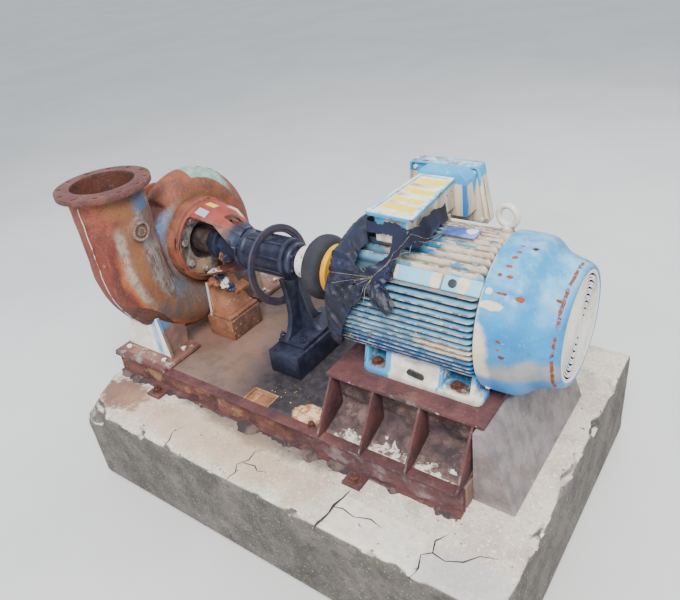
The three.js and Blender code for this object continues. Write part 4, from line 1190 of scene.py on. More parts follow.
def chip(place):
    """How far a point near the top edge is broken away, in millimetres each way."""
    x, y, z = place
    below = PLINTH_TOP - z
    inside = min(x - PLINTH_LEFT, PLINTH_RIGHT - x, y + PLINTH_HALF, PLINTH_HALF - y)
    ragged = noise.fractal(Vector((x, y, z)) * 0.006, 0.8, 2.0, 4)
    reach = 16 + 60 * max(0.0, ragged)
    corner = math.hypot(x - BROKEN_CORNER[0], y - BROKEN_CORNER[1])
    reach += 150 * max(0.0, 1 - corner / 260)
    return max(0.0, reach - below - inside) / 2


def weathering(place, normal):
    share = min(1.0, max(0.0, (place.z - PLINTH_BOTTOM - 15) / 80))
    shift = normal * -(2.5 + 2.5 * noise.fractal(place * 0.005, 0.8, 2.0, 4)) * share
    cut = chip(place)
    if cut > 0:
        inward = Vector((-place.x, -place.y * 1.5, 0)).normalized()
        shift += inward * cut - Vector((0, 0, cut))
    return shift


def make_plinth():
    plan = [(PLINTH_LEFT + 62, -PLINTH_HALF), (PLINTH_RIGHT, -PLINTH_HALF), (PLINTH_RIGHT, PLINTH_HALF),
            (PLINTH_LEFT, PLINTH_HALF), (PLINTH_LEFT, -PLINTH_HALF + 92)]
    obj = cast(prism("plinth", "z", PLINTH_BOTTOM, PLINTH_TOP, plan), 17, 1, 0.3)
    moved(obj, weathering)
    for k, route in enumerate(CRACKS):
        carve(obj, crack_cutter(route, *((11, 60) if k == WIDE_CRACK else (7, 34))))
    soften(obj, 50)
    put(obj, "concrete", "concrete", "concrete_plinth")


def crack_cutter(route, width=5, depth=26):
    """A thin wedge along a route on the plinth's top."""
    rings = []
    for k, (x, y) in enumerate(route):
        before, after = route[max(k - 1, 0)], route[min(k + 1, len(route) - 1)]
        ahead = Vector((after[0] - before[0], after[1] - before[1], 0)).normalized()
        side = Vector((-ahead.y, ahead.x, 0))
        half = width * (0.75 if k % 2 else 0.45) * (0.35 if k == len(route) - 1 else 1)
        here = Vector((x, y, 0))
        a, b = here + side * half, here - side * half
        top, low = PLINTH_TOP + 12, PLINTH_TOP - depth
        rings.append([(a.x, a.y, top), (b.x, b.y, top), (x, y, low)])
    return loft("crack", rings, 0)


# Steel base frame with mortar left in its channels, and the grout floor

LUG_XS = (-1215, 45)


RECESS_START, RECESS_LENGTH = -1568, 2074
RECESS_LOW, RECESS_HEIGHT = -643, 102
RECESS_COLUMNS, RECESS_ROWS = 150, 9


def recess_mortar(sign):
    """Broken mortar in the outward recess of one side channel."""
    face = []
    back = []
    for i in range(RECESS_COLUMNS + 1):
        x = RECESS_START + RECESS_LENGTH * i / RECESS_COLUMNS
        base = fractal(x * 0.0045, sign * 3.0, 0, 0.7)
        for j in range(RECESS_ROWS + 1):
            level = j / RECESS_ROWS
            z = RECESS_LOW + RECESS_HEIGHT * level
            depth = 19 + 30 * base + 7 * fractal(x * 0.02, z * 0.02, sign * 5.0, 0.7, 3) - 6 * level
            face.append((x, sign * (471 + min(36, max(2, depth))), z))
            back.append((x, sign * 470, RECESS_LOW + RECESS_HEIGHT * j / RECESS_ROWS))
    return grid_solid("recess_mortar", RECESS_COLUMNS, RECESS_ROWS, face, back, 40)


def make_base():
    for node in ("front_channel", "rear_channel", "left_end_plate"):
        refined(node, 2.5, "base", "base_steel")
    for side in (-1, 1):
        put(recess_mortar(side), "recess", "mortar")
    bolts = [hex_bolt((x, side * 549, PLINTH_TOP + 14), (0, 0, 1), 36, 18,
                      stud=14) for x in LUG_XS for side in (-1, 1)]
    put(joined("anchor_bolts", bolts), "bolt", "bare_steel")


def make_grout():
    obj = copy_of("grout_floor")
    cast(obj, 14, 1, 0.3)

    def trowelled(place, normal):
        share = 1.0 if place.z > GROUT_TOP - 12 else 0.0
        return Vector((0, 0, share * (2.0 * noise.fractal(place * 0.007, 0.8, 2.0, 4) - 1.0)))

    moved(obj, trowelled)
    pit = post("pit", 58, -300, -402, GROUT_TOP - 17, GROUT_TOP + 20, 23)
    roughen(pit, 26, 30, 3)
    pocket = block("pocket", -650, -508, -462, -372, GROUT_TOP - 16, GROUT_TOP + 20)
    roughen(pocket, 3, 30, 3)
    carve(obj, pit, pocket)
    soften(obj, 50)
    put(obj, "grout", "mortar", "grout_floor")
    plate = rounded(block("pocket_plate", -592, -514, -456, -382, GROUT_TOP - 16.5, GROUT_TOP - 5), 3)
    put(plate, "block", "base_steel")
    put(ragged_edge(), "ragged", "mortar")
    put(level_bolts([(-232, -462, FRAME_TOP)], 26, 15), "bolt", "bare_steel")


def ragged_edge():
    """Dark mortar and dirt that has gathered along the foot of the front channel."""
    rings = []
    for k in range(190):
        x = -1560 + 10.9 * k
        swell = fractal(x * 0.008, 1.7, 0, 0.8, 5)
        bump = max(0.0, 0.25 + swell) * (1.6 if -760 < x < -120 else 1.0)
        depth, height = 3 + 46 * min(1, bump), 3 + 26 * min(1, bump)
        foot = PLINTH_TOP - 3
        rings.append([(x, -509 + 2, foot), (x, -509 + 2, foot + height),
                      (x, -509 - depth * 0.4, foot + height * 0.8), (x, -509 - depth, foot)])
    return loft("ragged_edge", rings, 25)


# Motor pedestal

GUSSET_XS = (-161, 55, 272, 497)


def core_ledges(place, normal):
    if abs(place.y) < 250 or abs(normal.y) < 0.3:
        return Vector((0, 0, 0))
    ledge = fractal(place.x * 0.008, place.z * 0.03, place.y * 0.01, 0.7, 4)
    return Vector((0, -math.copysign(max(0.0, 9 + 12 * ledge), place.y), 0))


def slope_ridges(place, normal):
    if normal.z < -0.5 or normal.x < -0.5:
        return Vector((0, 0, 0))
    value = fractal(place.x * 0.012, place.y * 0.016, place.z * 0.006)
    return normal * -max(0.0, 5 + 8 * value)


def make_pedestal():
    refined("motor_top_plate", 2.5, "base", "base_steel")
    for side in ("front", "rear"):
        for number in range(1, 5):
            refined(f"{side}_gusset_{number}", 1.5, "base", "base_steel")
    core = moved(cast(copy_of("pedestal_core"), 11, 1, 0.3), core_ledges)
    soften(core, 60)
    put(core, "mortar", "mortar", "pedestal_core")
    slope = moved(cast(copy_of("mortar_slope"), 12, 1, 0.3), slope_ridges)
    soften(slope, 60)
    put(slope, "slope", "mortar", "mortar_slope")
    lumps = []
    for side in (-1, 1):
        for bay in range(3):
            low, high = GUSSET_XS[bay] + 8, GUSSET_XS[bay + 1] - 8
            lumps.append(mortar_heap(low, high, side, bay))
    put(joined("white_mortar", lumps), "white_mortar", "mortar")


HEAP_COLUMNS, HEAP_ROWS = 40, 12


def mortar_heap(low, high, side, seed):
    """A low ragged heap at the foot of one bay."""
    face = []
    for i in range(HEAP_COLUMNS + 1):
        across = i / HEAP_COLUMNS
        x = low + (high - low) * across
        for j in range(HEAP_ROWS + 1):
            out = j / HEAP_ROWS
            y = 330 + 150 * out
            value = fractal(x * 0.04, y * 0.04, seed * 4.0 + side)
            shape = math.sin(math.pi * across) ** 0.5 * (1 - out) ** 0.7
            spread = fractal(x * 0.011, y * 0.015, seed * 2.0 + side, 0.8, 3)
            z = FRAME_TOP - 14 + (16 + 26 * value) * shape + 16 * spread
            face.append((x, side * y, max(z, FRAME_TOP - 12)))
    back = [(x, y, GROUT_TOP - 2) for x, y, z in face]
    return grid_solid("heap", HEAP_COLUMNS, HEAP_ROWS, face, back, 60)


# Pump casing: one casting over the spiral, the wheel's drum and the discharge nozzle

SPIRAL_OUTER = (345, 568)
SPIRAL_TUBE = (100, 178)
SPIRAL_LEAD_IN = 32
FLANGE_TOP = 451
BOSS_Y, BOSS_Z = -392, 230
FLANGE_RADIUS = 222.5


def tube_ring(centre_y, centre_z, out_y, out_z, radius, sides=40):
    return [(PUMP_X + across, centre_y + out * out_y, centre_z + out * out_z)
            for out, across in circle(sides, radius, 0)]


def spiral_place(swept):
    """Centre radius, tube radius and direction of the spiral after so many degrees from the top."""
    share = swept / 270
    tube_radius = SPIRAL_TUBE[0] + (SPIRAL_TUBE[1] - SPIRAL_TUBE[0]) * share
    outer = SPIRAL_OUTER[0] + (SPIRAL_OUTER[1] - SPIRAL_OUTER[0]) * share
    turn = math.radians(90 - swept)
    return outer - tube_radius, tube_radius, math.cos(turn), math.sin(turn)


def make_casing():
    steps = 72
    rings = []
    for i in range(steps + 1):
        centre, radius, y, z = spiral_place(-SPIRAL_LEAD_IN + (270 + SPIRAL_LEAD_IN) * i / steps)
        rings.append(tube_ring(centre * y, centre * z, y, z, radius))
    for z, radius in ((40, 177), (90, 175), (140, 174), (250, 175), (340, 177), (430, 178)):
        rings.append(tube_ring(NOZZLE_Y, z, -1, 0, radius))
    tube_body = loft("spiral", rings)
    drum = turned("drum", [(-1462, 0), (-1462, 236), (-1440, 262), (-1262, 262), (COVER_X, 240),
                           (COVER_X, 0)])
    boss = rod("boss", 50, PUMP_X, -1158, BOSS_Y, BOSS_Z)
    body = cast(joined("casing", [tube_body, drum, boss]), 8, 7, 0.5)
    roughen(body, 1.4, 14, 2)
    carve(body, post("bore", 150, PUMP_X, NOZZLE_Y, 0, 480, 64),
          rod("seat", 223.6, COVER_X, -1140, segments=96),
          turned("chamber", [(-1490, 0), (-1490, 165), (-1392, 165), (-1392, 44), (-1200, 44), (-1200, 0)]))
    soften(body, 45)
    flange = turned("flange", [(FLANGE_TOP - 30, 150), (FLANGE_TOP - 30, FLANGE_RADIUS),
                               (FLANGE_TOP - 3, FLANGE_RADIUS),
                               (FLANGE_TOP - 3, 182), (FLANGE_TOP, 180), (FLANGE_TOP, 150)],
                    96, NOZZLE_Y, axis="z", x=PUMP_X)
    holes = [post("hole", 11.5, PUMP_X + x, NOZZLE_Y + y, 400, 470, 20) for x, y in circle(12, 200)]
    carve(flange, joined("holes", holes))
    rounded(flange, 2.5)
    body = joined("pump_casing", [body, flange, boss_plug()])
    put(body, "pump", "pump_casing", "volute_casing", "discharge_nozzle")
    put(casing_seam(), "seam", "pump_casing")


SEAM_TURN = 0.14


def casing_seam():
    """The thin raised casting seam along the outside of the spiral."""
    route = []
    for i in range(80):
        swept = 20 + 250 * i / 79
        centre, radius, y, z = spiral_place(swept)
        outer = centre + radius * math.cos(SEAM_TURN)
        x = PUMP_X + radius * math.sin(SEAM_TURN)
        route.append((x + 3 * math.sin(i * 0.9), outer * y, outer * z))
    for z in range(30, 400, 20):
        route.append((PUMP_X + 177 * math.sin(SEAM_TURN) + 2 * math.sin(z),
                      NOZZLE_Y - 177 * math.cos(SEAM_TURN), z))
    return tube("seam", route, 2.8, 8)


def boss_plug():
    rim = turned("rim", [(-1160, 33), (-1151, 36), (-1149, 40), (-1151, 46), (-1160, 50)], 48, BOSS_Y,
                 BOSS_Z)
    plug = turned("plug_disc", [(-1162, 0), (-1162, 24), (-1153, 22), (-1152, 17), (-1155, 13), (-1155, 0)],
                  40, BOSS_Y + 3, BOSS_Z - 4)
    return joined("plug", [rim, plug])


def make_suction():
    neck = turned("suction", [(-1590, 165), (-1590, 200), (-1587, 202), (-1587, 252.5), (-1560, 252.5),
                              (-1560, 210),
                              (-1545, 194), (-1500, 192), (-1462.3, 197), (-1462.3, 165)], 112)
    holes = [rod("hole", 11.5, -1600, -1550, y, z, 20) for y, z in circle(16, 230)]
    carve(neck, joined("holes", holes))
    rounded(neck, 2.5)
    put(neck, "pump", "pump_casing", "suction_neck")
    refined("impeller", 1.5, "steel", "bare_steel", "rotor")


def make_volute_feet():
    for node in ("near_volute_foot", "far_volute_foot"):
        refined(node, 3, "foot", "pump_casing")
    places = [(x, side * 455, FRAME_TOP + 20) for x in (-1500, -1212) for side in (-1, 1)]
    places += [(-1195, side * 330, FRAME_TOP + 20) for side in (-1, 1)]
    put(level_bolts(places, 26, 13), "foot", "bare_steel")


# Cover, lantern bracket and gland

def make_cover():
    cover = turned("cover", [(-1244.7, 42), (-1244.7, 198.7), (-1203, 198.7), (-1203, 190), (-1198, 187),
                             (-1198, 112),
                             (-1202, 107), (-1236, 104), (-1236, 74), (-1160, 68), (-1128, 66),
                             (-1128, 42)], 96)
    rounded(cover, 2)
    roughen(cover, 1.2, 20, 1)
    put(cover, "cover", "cover_iron", "casing_cover")
    put(bolt_circle(8, 160, -1198, 33, 19, phase=0.62), "cover_bolt", "bare_steel")
    gland = turned("gland", [(-1127.7, 41), (-1127.7, 62), (-1095, 62), (-1095, 88), (-1046, 88),
                             (-1046, 41)], 64)
    rounded(gland, 3)
    put(gland, "oily", "bare_steel", "shaft_gland")
    sleeve = turned("sleeve", [(-1045.5, 43), (-1045.5, 62), (-1000, 66), (-960, 72), (-900, 82),
                               (-890, 82), (-890, 43)], 64)
    eye = aimed(turned("eye", [(-14, 0), (-14, 30), (6, 30), (8, 26), (8, 18), (4, 16), (4, 0)], 32, 0,
                       axis="z"),
                (-1000, -52, -52), (0.62, -0.75, -0.2))
    put(joined("shaft_sleeve", [sleeve, eye]), "oily", "oily_iron")
    rust = lump((-1036, -50, -46), (12, 22, 30), 8)
    put(rust, "block", "pump_casing")


def window_cutter():
    outline = [(-1177, -165), (-1177, 162), (-1165, 173), (-1104, 160), (-1042, 143), (-993, 117),
               (-948, 90),
               (-918, 66), (-893, 44), (-889, 20), (-889, -48), (-1040, -128)]
    return prism("window", "y", -260, 260, outline)


def arm_roof():
    """The two flat faces on top of the upper arm, which meet in a ridge."""
    sections = []
    for x, points in (
            (-1188, [(-90, 166), (-88, 180), (-4, 206), (100, 188), (104, 150), (92, 150), (86, 172),
                     (-4, 186)]),
            (-1120, [(-80, 156), (-78, 168), (-4, 193), (102, 178), (106, 138), (94, 138), (84, 160),
                     (-4, 174)]),
            (-1010, [(-66, 130), (-64, 142), (-4, 168), (94, 160), (100, 118), (88, 118), (78, 142),
                     (-4, 150)]),
            (-880, [(-42, 80), (-42, 96), (-4, 114), (46, 106), (56, 76), (46, 74), (38, 90), (-4, 98)])):
        sections.append([(x, y, z) for y, z in points])
    return loft("arm_roof", sections, 25)


def make_bracket():
    shell = turned("bracket", [
        (-1244.7, 199), (-1244.7, 221.5), (-1192, 221.5), (-1186, 219), (-1183, 212), (-1183, 203),
                               (-1172, 196),
        (-1150, 191), (-1050, 160), (-950, 130), (-905, 112), (-884, 104), (-872, 104), (-872, 60),
                               (-888, 60),
        (-888, 88), (-950, 116), (-1150, 177), (-1183, 191), (-1186, 199)], 120)
    carve(shell, window_cutter())
    roof = arm_roof()
    top_window = [(-1006, -14), (-1000, 36), (-972, 50), (-925, 38), (-905, 12), (-930, -14)]
    for piece in (shell, roof):
        carve(piece, rounded(prism("top_window", "z", 60, 260, top_window), 5, 2, 20))
    rounded(shell, 2.5, 2, 30, 40)
    rounded(roof, 3, 2, 20, 35)
    whole = joined("bracket", [shell, roof])
    roughen(whole, 0.6, 18, 4)
    put(whole, "bracket", "pump_casing", "bearing_bracket")
    inside = [hex_bolt((-958, 8, 79), (0, 0.1, 1), 22, 14)]
    put(joined("inner_bolt", inside), "cover_bolt", "bare_steel")
    put(bolt_circle(6, 96, -872, 18, 12, phase=0.5), "oily", "oily_iron")


def lump(place, size, seed):
    """A broken piece of scale or mortar."""
    mesh = bpy.data.meshes.new("lump")
    work = bmesh.new()
    bmesh.ops.create_icosphere(work, subdivisions=3, radius=1)
    for vertex in work.verts:
        broad = noise.noise(vertex.co * 1.6 + Vector((seed, 0, 0)))
        swell = 1 + 0.9 * broad + 0.3 * noise.noise(vertex.co * 4)
        offset = [swell * s * v for s, v in zip(size, vertex.co)]
        vertex.co = at(*[p + o for p, o in zip(place, offset)])
    work.to_mesh(mesh)
    work.free()
    obj = bpy.data.objects.new("lump", mesh)
    bpy.context.scene.collection.objects.link(obj)
    soften(obj, 20)
    return obj


SLAB_LEAN = 0.35


def make_debris():
    """Broken pieces that lie on the cover bracket, under the window."""
    rusty = [lump((-1128, -78, -206), (34, 30, 22), 1), lump((-1152, -30, -176), (26, 30, 16), 2)]
    put(joined("rusty_lumps", rusty), "block", "pump_casing")
    pale = [lump((-1058, -62, -206), (36, 22, 26), 3), lump((-1130, -62, -158), (26, 24, 14), 4),
            lump((-1095, -40, -170), (22, 20, 14), 9)]
    put(joined("pale_lumps", pale), "white_mortar", "mortar")
    dark = [lump((-1076, -64, -176), (24, 22, 20), 5), lump((-1020, -60, -226), (22, 20, 26), 6)]
    put(joined("dark_lumps", dark), "oily", "oily_iron")
    slab = rounded(block("slab", -1040, -985, -60, 40, -262, -232), 5, 2)
    spun(slab, SLAB_LEAN, "Y", (-1010, -10, -247))
    roughen(slab, 2.0, 20, 7)
    put(slab, "block", "pump_casing")


def make_cover_bracket():
    upright = prism("upright", "x", -1190, -1174, [(-104, -420), (104, -420), (86, -222), (-86, -222)])
    foot = block("foot", -1190, -1030, -108, 108, -420, -402)
    step = block("step", -1176, -1052, -98, 98, -404, -388)
    slope = [(-1176, -390), (-1060, -390), (-1064, -376), (-1090, -352), (-1118, -318), (-1136, -270),
             (-1150, -238),
             (-1176, -232)]
    wedge = prism("wedge", "y", -88, 88, slope)
    bracket = fuse(upright, foot, step, wedge)
    rim = rod("cover_rim", 222.7, -1300, -1150, segments=96)
    carve(bracket, rim)
    rounded(bracket, 3)
    roughen(bracket, 1.2, 20, 5)
    put(bracket, "block", "pump_casing", "cover_bracket")


# Bearing housing, end cover, and the loose ring that hangs on it

RING_PLACE = (-704, 4, -55.5)
RING_YAW, RING_LEAN = -3.8, 7.4


def make_housing():
    shell = turned("housing", [
        (-871.7, 36), (-871.7, 104), (-850, 104), (-844, 100), (-840, 95), (-770, 93), (-690, 93),
                               (-622, 95),
        (-616, 99), (-612, 102), (-590, 102), (-590, 36)], 96)
    rounded(shell, 2)
    ribs = [spun(rounded(block("rib", -848, -612, -6, 6, 84, 102), 2.5), math.pi * (k + 0.5) / 4)
            for k in range(8)]
    shell = joined("bearing_housing_look", [shell, *ribs])
    put(shell, "oily", "oily_iron", "bearing_housing")
    cover = turned("end_cover", [(-589.7, 36), (-589.7, 87), (-572, 87), (-566, 84), (-560, 76), (-560, 56),
                                 (-556, 52),
                                 (-556, 44), (-560, 36)], 80)
    rounded(cover, 1.5)
    put(cover, "oily", "oily_iron", "bearing_end_cover")
    put(bolt_circle(6, 70, -563, 16, 10, phase=0.3), "oily", "oily_iron")


def make_ring():
    ring = turned("ring", [(-11, 163), (-11, 168), (-9, 194), (-5, 200), (0, 202), (6, 202), (11, 199),
                           (11, 177),
                           (7, 176), (5, 163), (2, 161), (-8, 161)], 128)
    roughen(ring, 0.5, 22, 1)
    turn = Matrix.Rotation(math.radians(RING_YAW), 4, "Z")
    turn = turn @ Matrix.Rotation(math.radians(-RING_LEAN), 4, "Y")
    put(carried(ring, RING_PLACE, turn), "ring", "oily_iron", "hanging_ring")


def make_supports():
    front = [(-150, -412), (150, -412), (150, -390)]
    front += curve((150, -390), (92, -370), (78, -270), 12) + curve((78, -270), (74, -170), (96, -70), 12)
    front += [(-96, -70)]
    front += curve((-96, -70), (-74, -170), (-78, -270), 12)
    front += curve((-78, -270), (-92, -370), (-150, -390), 12)
    web = prism("web", "x", -628, -598, front[:-1] + [(-150, -390)])
    rib = prism("rib", "y", -14, 14, [(-650, -412), (-500, -412), (-500, -385)]
                + curve((-500, -385), (-585, -340), (-598, -110), 12) + [(-640, -90), (-650, -300)])
    foot = block("foot", -655, -492, -150, 150, -412, -390)
    stand = fuse(web, rib, foot)
    carve(stand, rod("seat", 103, -700, -480, segments=72))
    rounded(stand, 3)
    put(stand, "oily", "oily_iron", "bearing_pedestal")
    places = [(x, y, -390) for x in (-520,) for y in (-120, 120)] + [(-645, -120, -390), (-645, 120, -390)]
    put(level_bolts(places, 26, 16, 10), "oily", "oily_iron")
    beam = rounded(block("beam", -665, -479, -224, 224, GROUT_TOP, -412), 3)
    put(beam, "oily", "oily_iron", "bearing_beam")
    block_look = copy_of("cover_block")
    rounded(block_look, 3)
    put(block_look, "block", "pump_casing", "cover_block")
    make_cover_bracket()
    make_debris()


# Shafts and tyre coupling

TYRE_LEFT, TYRE_RIGHT = -450, -350


def make_coupling():
    for node in ("pump_shaft", "motor_shaft"):
        refined(node, 1.5, "steel", "bare_steel", "rotor")
    left, right = TYRE_LEFT, TYRE_RIGHT
    middle = (left + right) / 2
    hub = turned("pump_hub", [(-532, 35.3), (-532, 74), (-529, 77), (left - 20, 77), (left - 18, 79),
                              (left - 18, 110),
                              (left - 16, 112), (left - 0.3, 112), (left - 0.3, 35.3)], 80)
    put(hub, "cream", "cream_paint", "pump_hub", body="rotor")
    tyre = turned("tyre", [(left, 62), (left, 116), (left + 3, 127), (left + 9, 138), (left + 19, 146),
                           (left + 32, 151), (middle, 153), (right - 32, 151), (right - 19, 146),
                           (right - 9, 138),
                           (right - 3, 127), (right, 120), (right, 62)], 112, smooth=60)
    put(tyre, "rubber", "tyre_rubber", "coupling_tyre", body="rotor")
    flange = turned("motor_hub", [(right + 0.3, 37.8), (right + 0.3, 117), (right + 22, 117),
                                  (right + 25, 114),
                                  (right + 25, 74), (right + 29, 70), (-248, 70), (-245, 67), (-245, 37.8)],
                    96)
    holes = [rod("hole", 6, right + 8, right + 40, y, z, 16) for y, z in circle(8, 95)]
    carve(flange, joined("holes", holes))
    soften(flange, 35)
    put(flange, "yellow", "hub_yellow", "motor_hub", body="rotor")
    put(bolt_circle(8, 95, left - 29, 18, 11, phase=0.0), "steel", "bare_steel", body="rotor")


# Motor frame with straight fins, side pads, blank plates and feet

FIN_REACH = 303
SIDE_FIN_TOP, SIDE_FIN_STEP, SIDE_FIN_COUNT = 172, 25.5, 14
TOP_FIN_REACH, TOP_FIN_COUNT = 176, 13
FRAME_LEFT, FRAME_RIGHT = -145, 470
FIN_END, FIN_ROUNDING = 462, 26
PAD_ANGLE = 46.5


def fin_section(root, reach, centre):
    """Half a fin's outline from its root to its rounded tip, as (out, across)."""
    return [(root, centre - 5.0), (reach - 3, centre - 3.0), (reach - 1, centre - 2.2), (reach, centre),
            (reach - 1, centre + 2.2), (reach - 3, centre + 3.0), (root, centre + 5.0)]


def make_fins():
    pieces = []
    for k in range(SIDE_FIN_COUNT):
        z = SIDE_FIN_TOP - k * SIDE_FIN_STEP
        reach = math.sqrt(FIN_REACH ** 2 - (abs(z) + 3.5) ** 2)
        root = math.sqrt(max(264 ** 2 - z * z, 0)) - 8
        for side in (-1, 1):
            section = [(side * out, across) for out, across in fin_section(root, reach, z)]
            pieces.append(fin(section, (side, 0), k + side))
    for k in range(TOP_FIN_COUNT):
        y = -TOP_FIN_REACH + 2 * TOP_FIN_REACH * k / (TOP_FIN_COUNT - 1)
        reach = math.sqrt(FIN_REACH ** 2 - (abs(y) + 3.5) ** 2)
        root = math.sqrt(264 ** 2 - y * y) - 8
        section = [(across, out) for out, across in fin_section(root, reach, y)]
        pieces.append(fin(section, (0, 1), 30 + k))
    return pieces


def fin(section, out, seed):
    """A fin along the frame; near the cowl its edge curves down towards the frame, and it waves a little."""
    xs = [FRAME_LEFT + 13 * k for k in range(45)] + [FIN_END - v for v in (22, 15, 9, 5, 2, 0)]
    full = max(abs(a) * abs(out[0]) + abs(b) * abs(out[1]) for a, b in section)
    rings = []
    for x in xs:
        near_end = max(0.0, (x - FIN_END + FIN_ROUNDING) / FIN_ROUNDING)
        drop = FIN_ROUNDING * (1 - math.sqrt(max(0.0, 1 - near_end * near_end)))
        wave = 1.6 * noise.noise(Vector((x * 0.011, seed * 3.7, 0.4)))
        ring = []
        for a, b in section:
            if out[0]:
                a -= out[0] * drop * (abs(a) > full - 6)
                b += wave * (abs(a) > full - FIN_ROUNDING - 8)
            else:
                b -= drop * (b > full - 6)
                a += wave * (b > full - FIN_ROUNDING - 8)
            ring.append((x, a, b))
        rings.append(ring)
    return loft("fin", rings, 50)


def side_pad(x0, x1, side):
    pad = rounded(block("pad", x0, x1, -30, 30, 236, 299), 6, 3)
    return spun(pad, math.radians(PAD_ANGLE) * -side)


def around(obj, angle):
    """Turns a piece made above the shaft down round it, by degrees towards the near side."""
    return spun(obj, math.radians(angle))


def make_motor():
    core = turned("core", [(-145, 41), (-145, 262), (-143, 264), (470, 264), (470, 41)], 128)
    seat = rounded(block("seat", 16, 186, -120, 120, 200, 307), 4)
    boss = post("eye_boss", 25, 433, 96, 200, 294, 32)
    pads = [side_pad(x0, x1, side) for side in (-1, 1) for x0, x1 in ((112, 309), (316, 468))]
    body = joined("motor_body", [core, *make_fins(), seat, boss, *pads])
    put(body, "motor", "motor_paint", "motor_frame")
    plug = around(turned("plug", [(296, 0), (296, 17), (304, 16), (305, 10), (305, 0)], 24, 0, axis="z",
                         x=357), PAD_ANGLE)
    put(plug, "black", "fan_plastic")
    for node, side in (("near_motor_foot", -1), ("far_motor_foot", 1)):
        foot = copy_of(node)
        rounded(foot, 4, 2, 30)
        ends = ((172, -234), (224, -242))
        slot = [(x + 13 * math.cos(turn), z + 13 * math.sin(turn)) for (x, z), start in zip(ends, (90, -90))
                for turn in [math.radians(start + 18 * k) for k in range(11)]]
        # A black piece behind each foot slot, put there as painted shade inside the slot.
        shade = rounded(prism("shade", "y", side * 262, side * 256, slot), 1)
        put(shade, "black", "fan_plastic")
        notch = block("notch", 142, 190, side * 236, side * 275, -208, -186)
        spare = post("spare_hole", 11, 419, side * 228.5, PLATE_TOP + 2, PLATE_TOP + 60, 24)
        carve(foot, prism("foot_slot", "y", side * 300, side * 200, slot), notch, spare)
        soften(foot, 35)
        put(foot, "feet", "motor_paint", node)
    bolts = [(x, side * 228.5, PLATE_TOP + 26) for x in (0, 368) for side in (-1, 1)]
    put(level_bolts(bolts, 34, 13), "bolt", "bare_steel")
    shield = turned("shield", [(-192, 38), (-192, 94), (-190, 96), (-184, 110), (-180, 150), (-178, 236),
                               (-172, 262),
                               (-166, 272), (-145.3, 272), (-145.3, 38)], 96)
    put(shield, "shield", "motor_paint", "drive_end_shield")
    plate = rounded(block("plate", 227, 362, -48, 28, 303, 305), 0.8)
    put(plate, "plate", "motor_paint")


# Fan cowl, slotted grille and fan

COWL_PROFILE = ((474, 308), (477, 312), (520, 313), (560, 312), (585, 310), (604, 305), (620, 295),
                (636, 280),
                (650, 268), (664, 260), (684, 254), (712, 246), (740, 237), (752, 231), (758, 224))
COWL_CREASE = ((506, -222, 219), (574, -226, 212), (612, -222, 200), (648, -206, 187))
COWL_DENTS = (((520, -250, 190), 60, 5.0), ((600, -250, 175), 60, 4.0), ((680, -200, 150), 60, 4.5),
              ((600, -290, -60), 80, 3.5), ((700, -60, 240), 60, 4.0), ((560, 60, 300), 70, 4.0))


def make_cowl():
    outer = [COWL_PROFILE[0]]
    for (x0, r0), (x1, r1) in zip(COWL_PROFILE, COWL_PROFILE[1:]):
        parts = max(1, round((x1 - x0) / 9))
        outer += [(x0 + (x1 - x0) * k / parts, r0 + (r1 - r0) * k / parts) for k in range(1, parts + 1)]
    inner = [(x, r - 5) for x, r in reversed(outer) if x < 740]
    shell = turned("cowl", outer + [(758, 214.3), (744, 214.3), (744, 226)] + inner, 160, smooth=40)
    moved(shell, knocks)
    trim = block("trim", 440, 780, -330, 330, -400, -274)
    hole = prism("torn_hole", "z", 240, 340, [(583, -50), (592, -54), (599, -44), (604, -34), (596, -32),
                                              (588, -40)])
    carve(shell, trim, hole)
    floor_plate = cowl_floor()
    whole = joined("cowl", [shell, floor_plate])
    soften(whole, 40)
    put(whole, "cowl", "motor_paint", "fan_cowl")
    screws = []
    for x, angle in ((500, 46.5), (500, 131), (500, -46.5), (500, -131)):
        screw = turned("screw", [(310, 0), (310, 13), (313, 13), (314, 9), (318, 8), (319, 0)], 24, 0,
                       axis="z", x=x)
        screws.append(around(screw, angle))
    put(joined("cowl_screws", screws), "cream", "bare_steel")


def knocks(place, normal):
    """Dents and one crease, pressed towards the shaft."""
    out = Vector((0, place.y, place.z)).normalized()
    push = 1.2 * noise.noise(place * 0.006)
    for centre, reach, depth in COWL_DENTS:
        away = (place - Vector(centre)).length / reach
        if away < 1:
            push += depth * (1 - away * away) ** 2
    for a, b in zip(COWL_CREASE, COWL_CREASE[1:]):
        a, b = Vector(a), Vector(b)
        share = max(0.0, min(1.0, (place - a).dot(b - a) / (b - a).length_squared))
        away = (place - a - (b - a) * share).length
        push += 5.0 * max(0.0, 1 - away / 18)
    return out * -push


def cowl_floor():
    """The flat sheet that closes the cowl's underside, where the round shape would meet the plate."""
    half = [(474, 149), (560, 149), (600, 134), (626, 100), (644, 56), (650, 0)]
    outline = [(x, -y) for x, y in half] + [(x, y) for x, y in reversed(half[:-1])]
    return prism("cowl_floor", "z", -274, -269, outline)


def make_grille():
    disc = turned("grille", [(751, 0), (751, 214), (756, 214), (757.5, 211), (757.5, 206), (756, 204),
                             (756, 0)], 112)
    cutters = []
    for ring in range(13):
        inner = 40 + ring * 12.6
        outer = inner + 8.4
        for quarter in range(4):
            shift = 0.16 + math.pi / 4 * (ring % 2)
            start = math.pi / 2 * quarter + 9 / outer + shift
            end = math.pi / 2 * (quarter + 1) - 9 / outer + shift
            cutters.append(crescent(inner, outer, start, end))
    carve(disc, joined("slots", cutters))
    soften(disc, 30)
    put(disc, "grille", "cream_paint", "fan_grille")
    refined("cooling_fan", 1.5, "fan", "fan_plastic", "rotor")


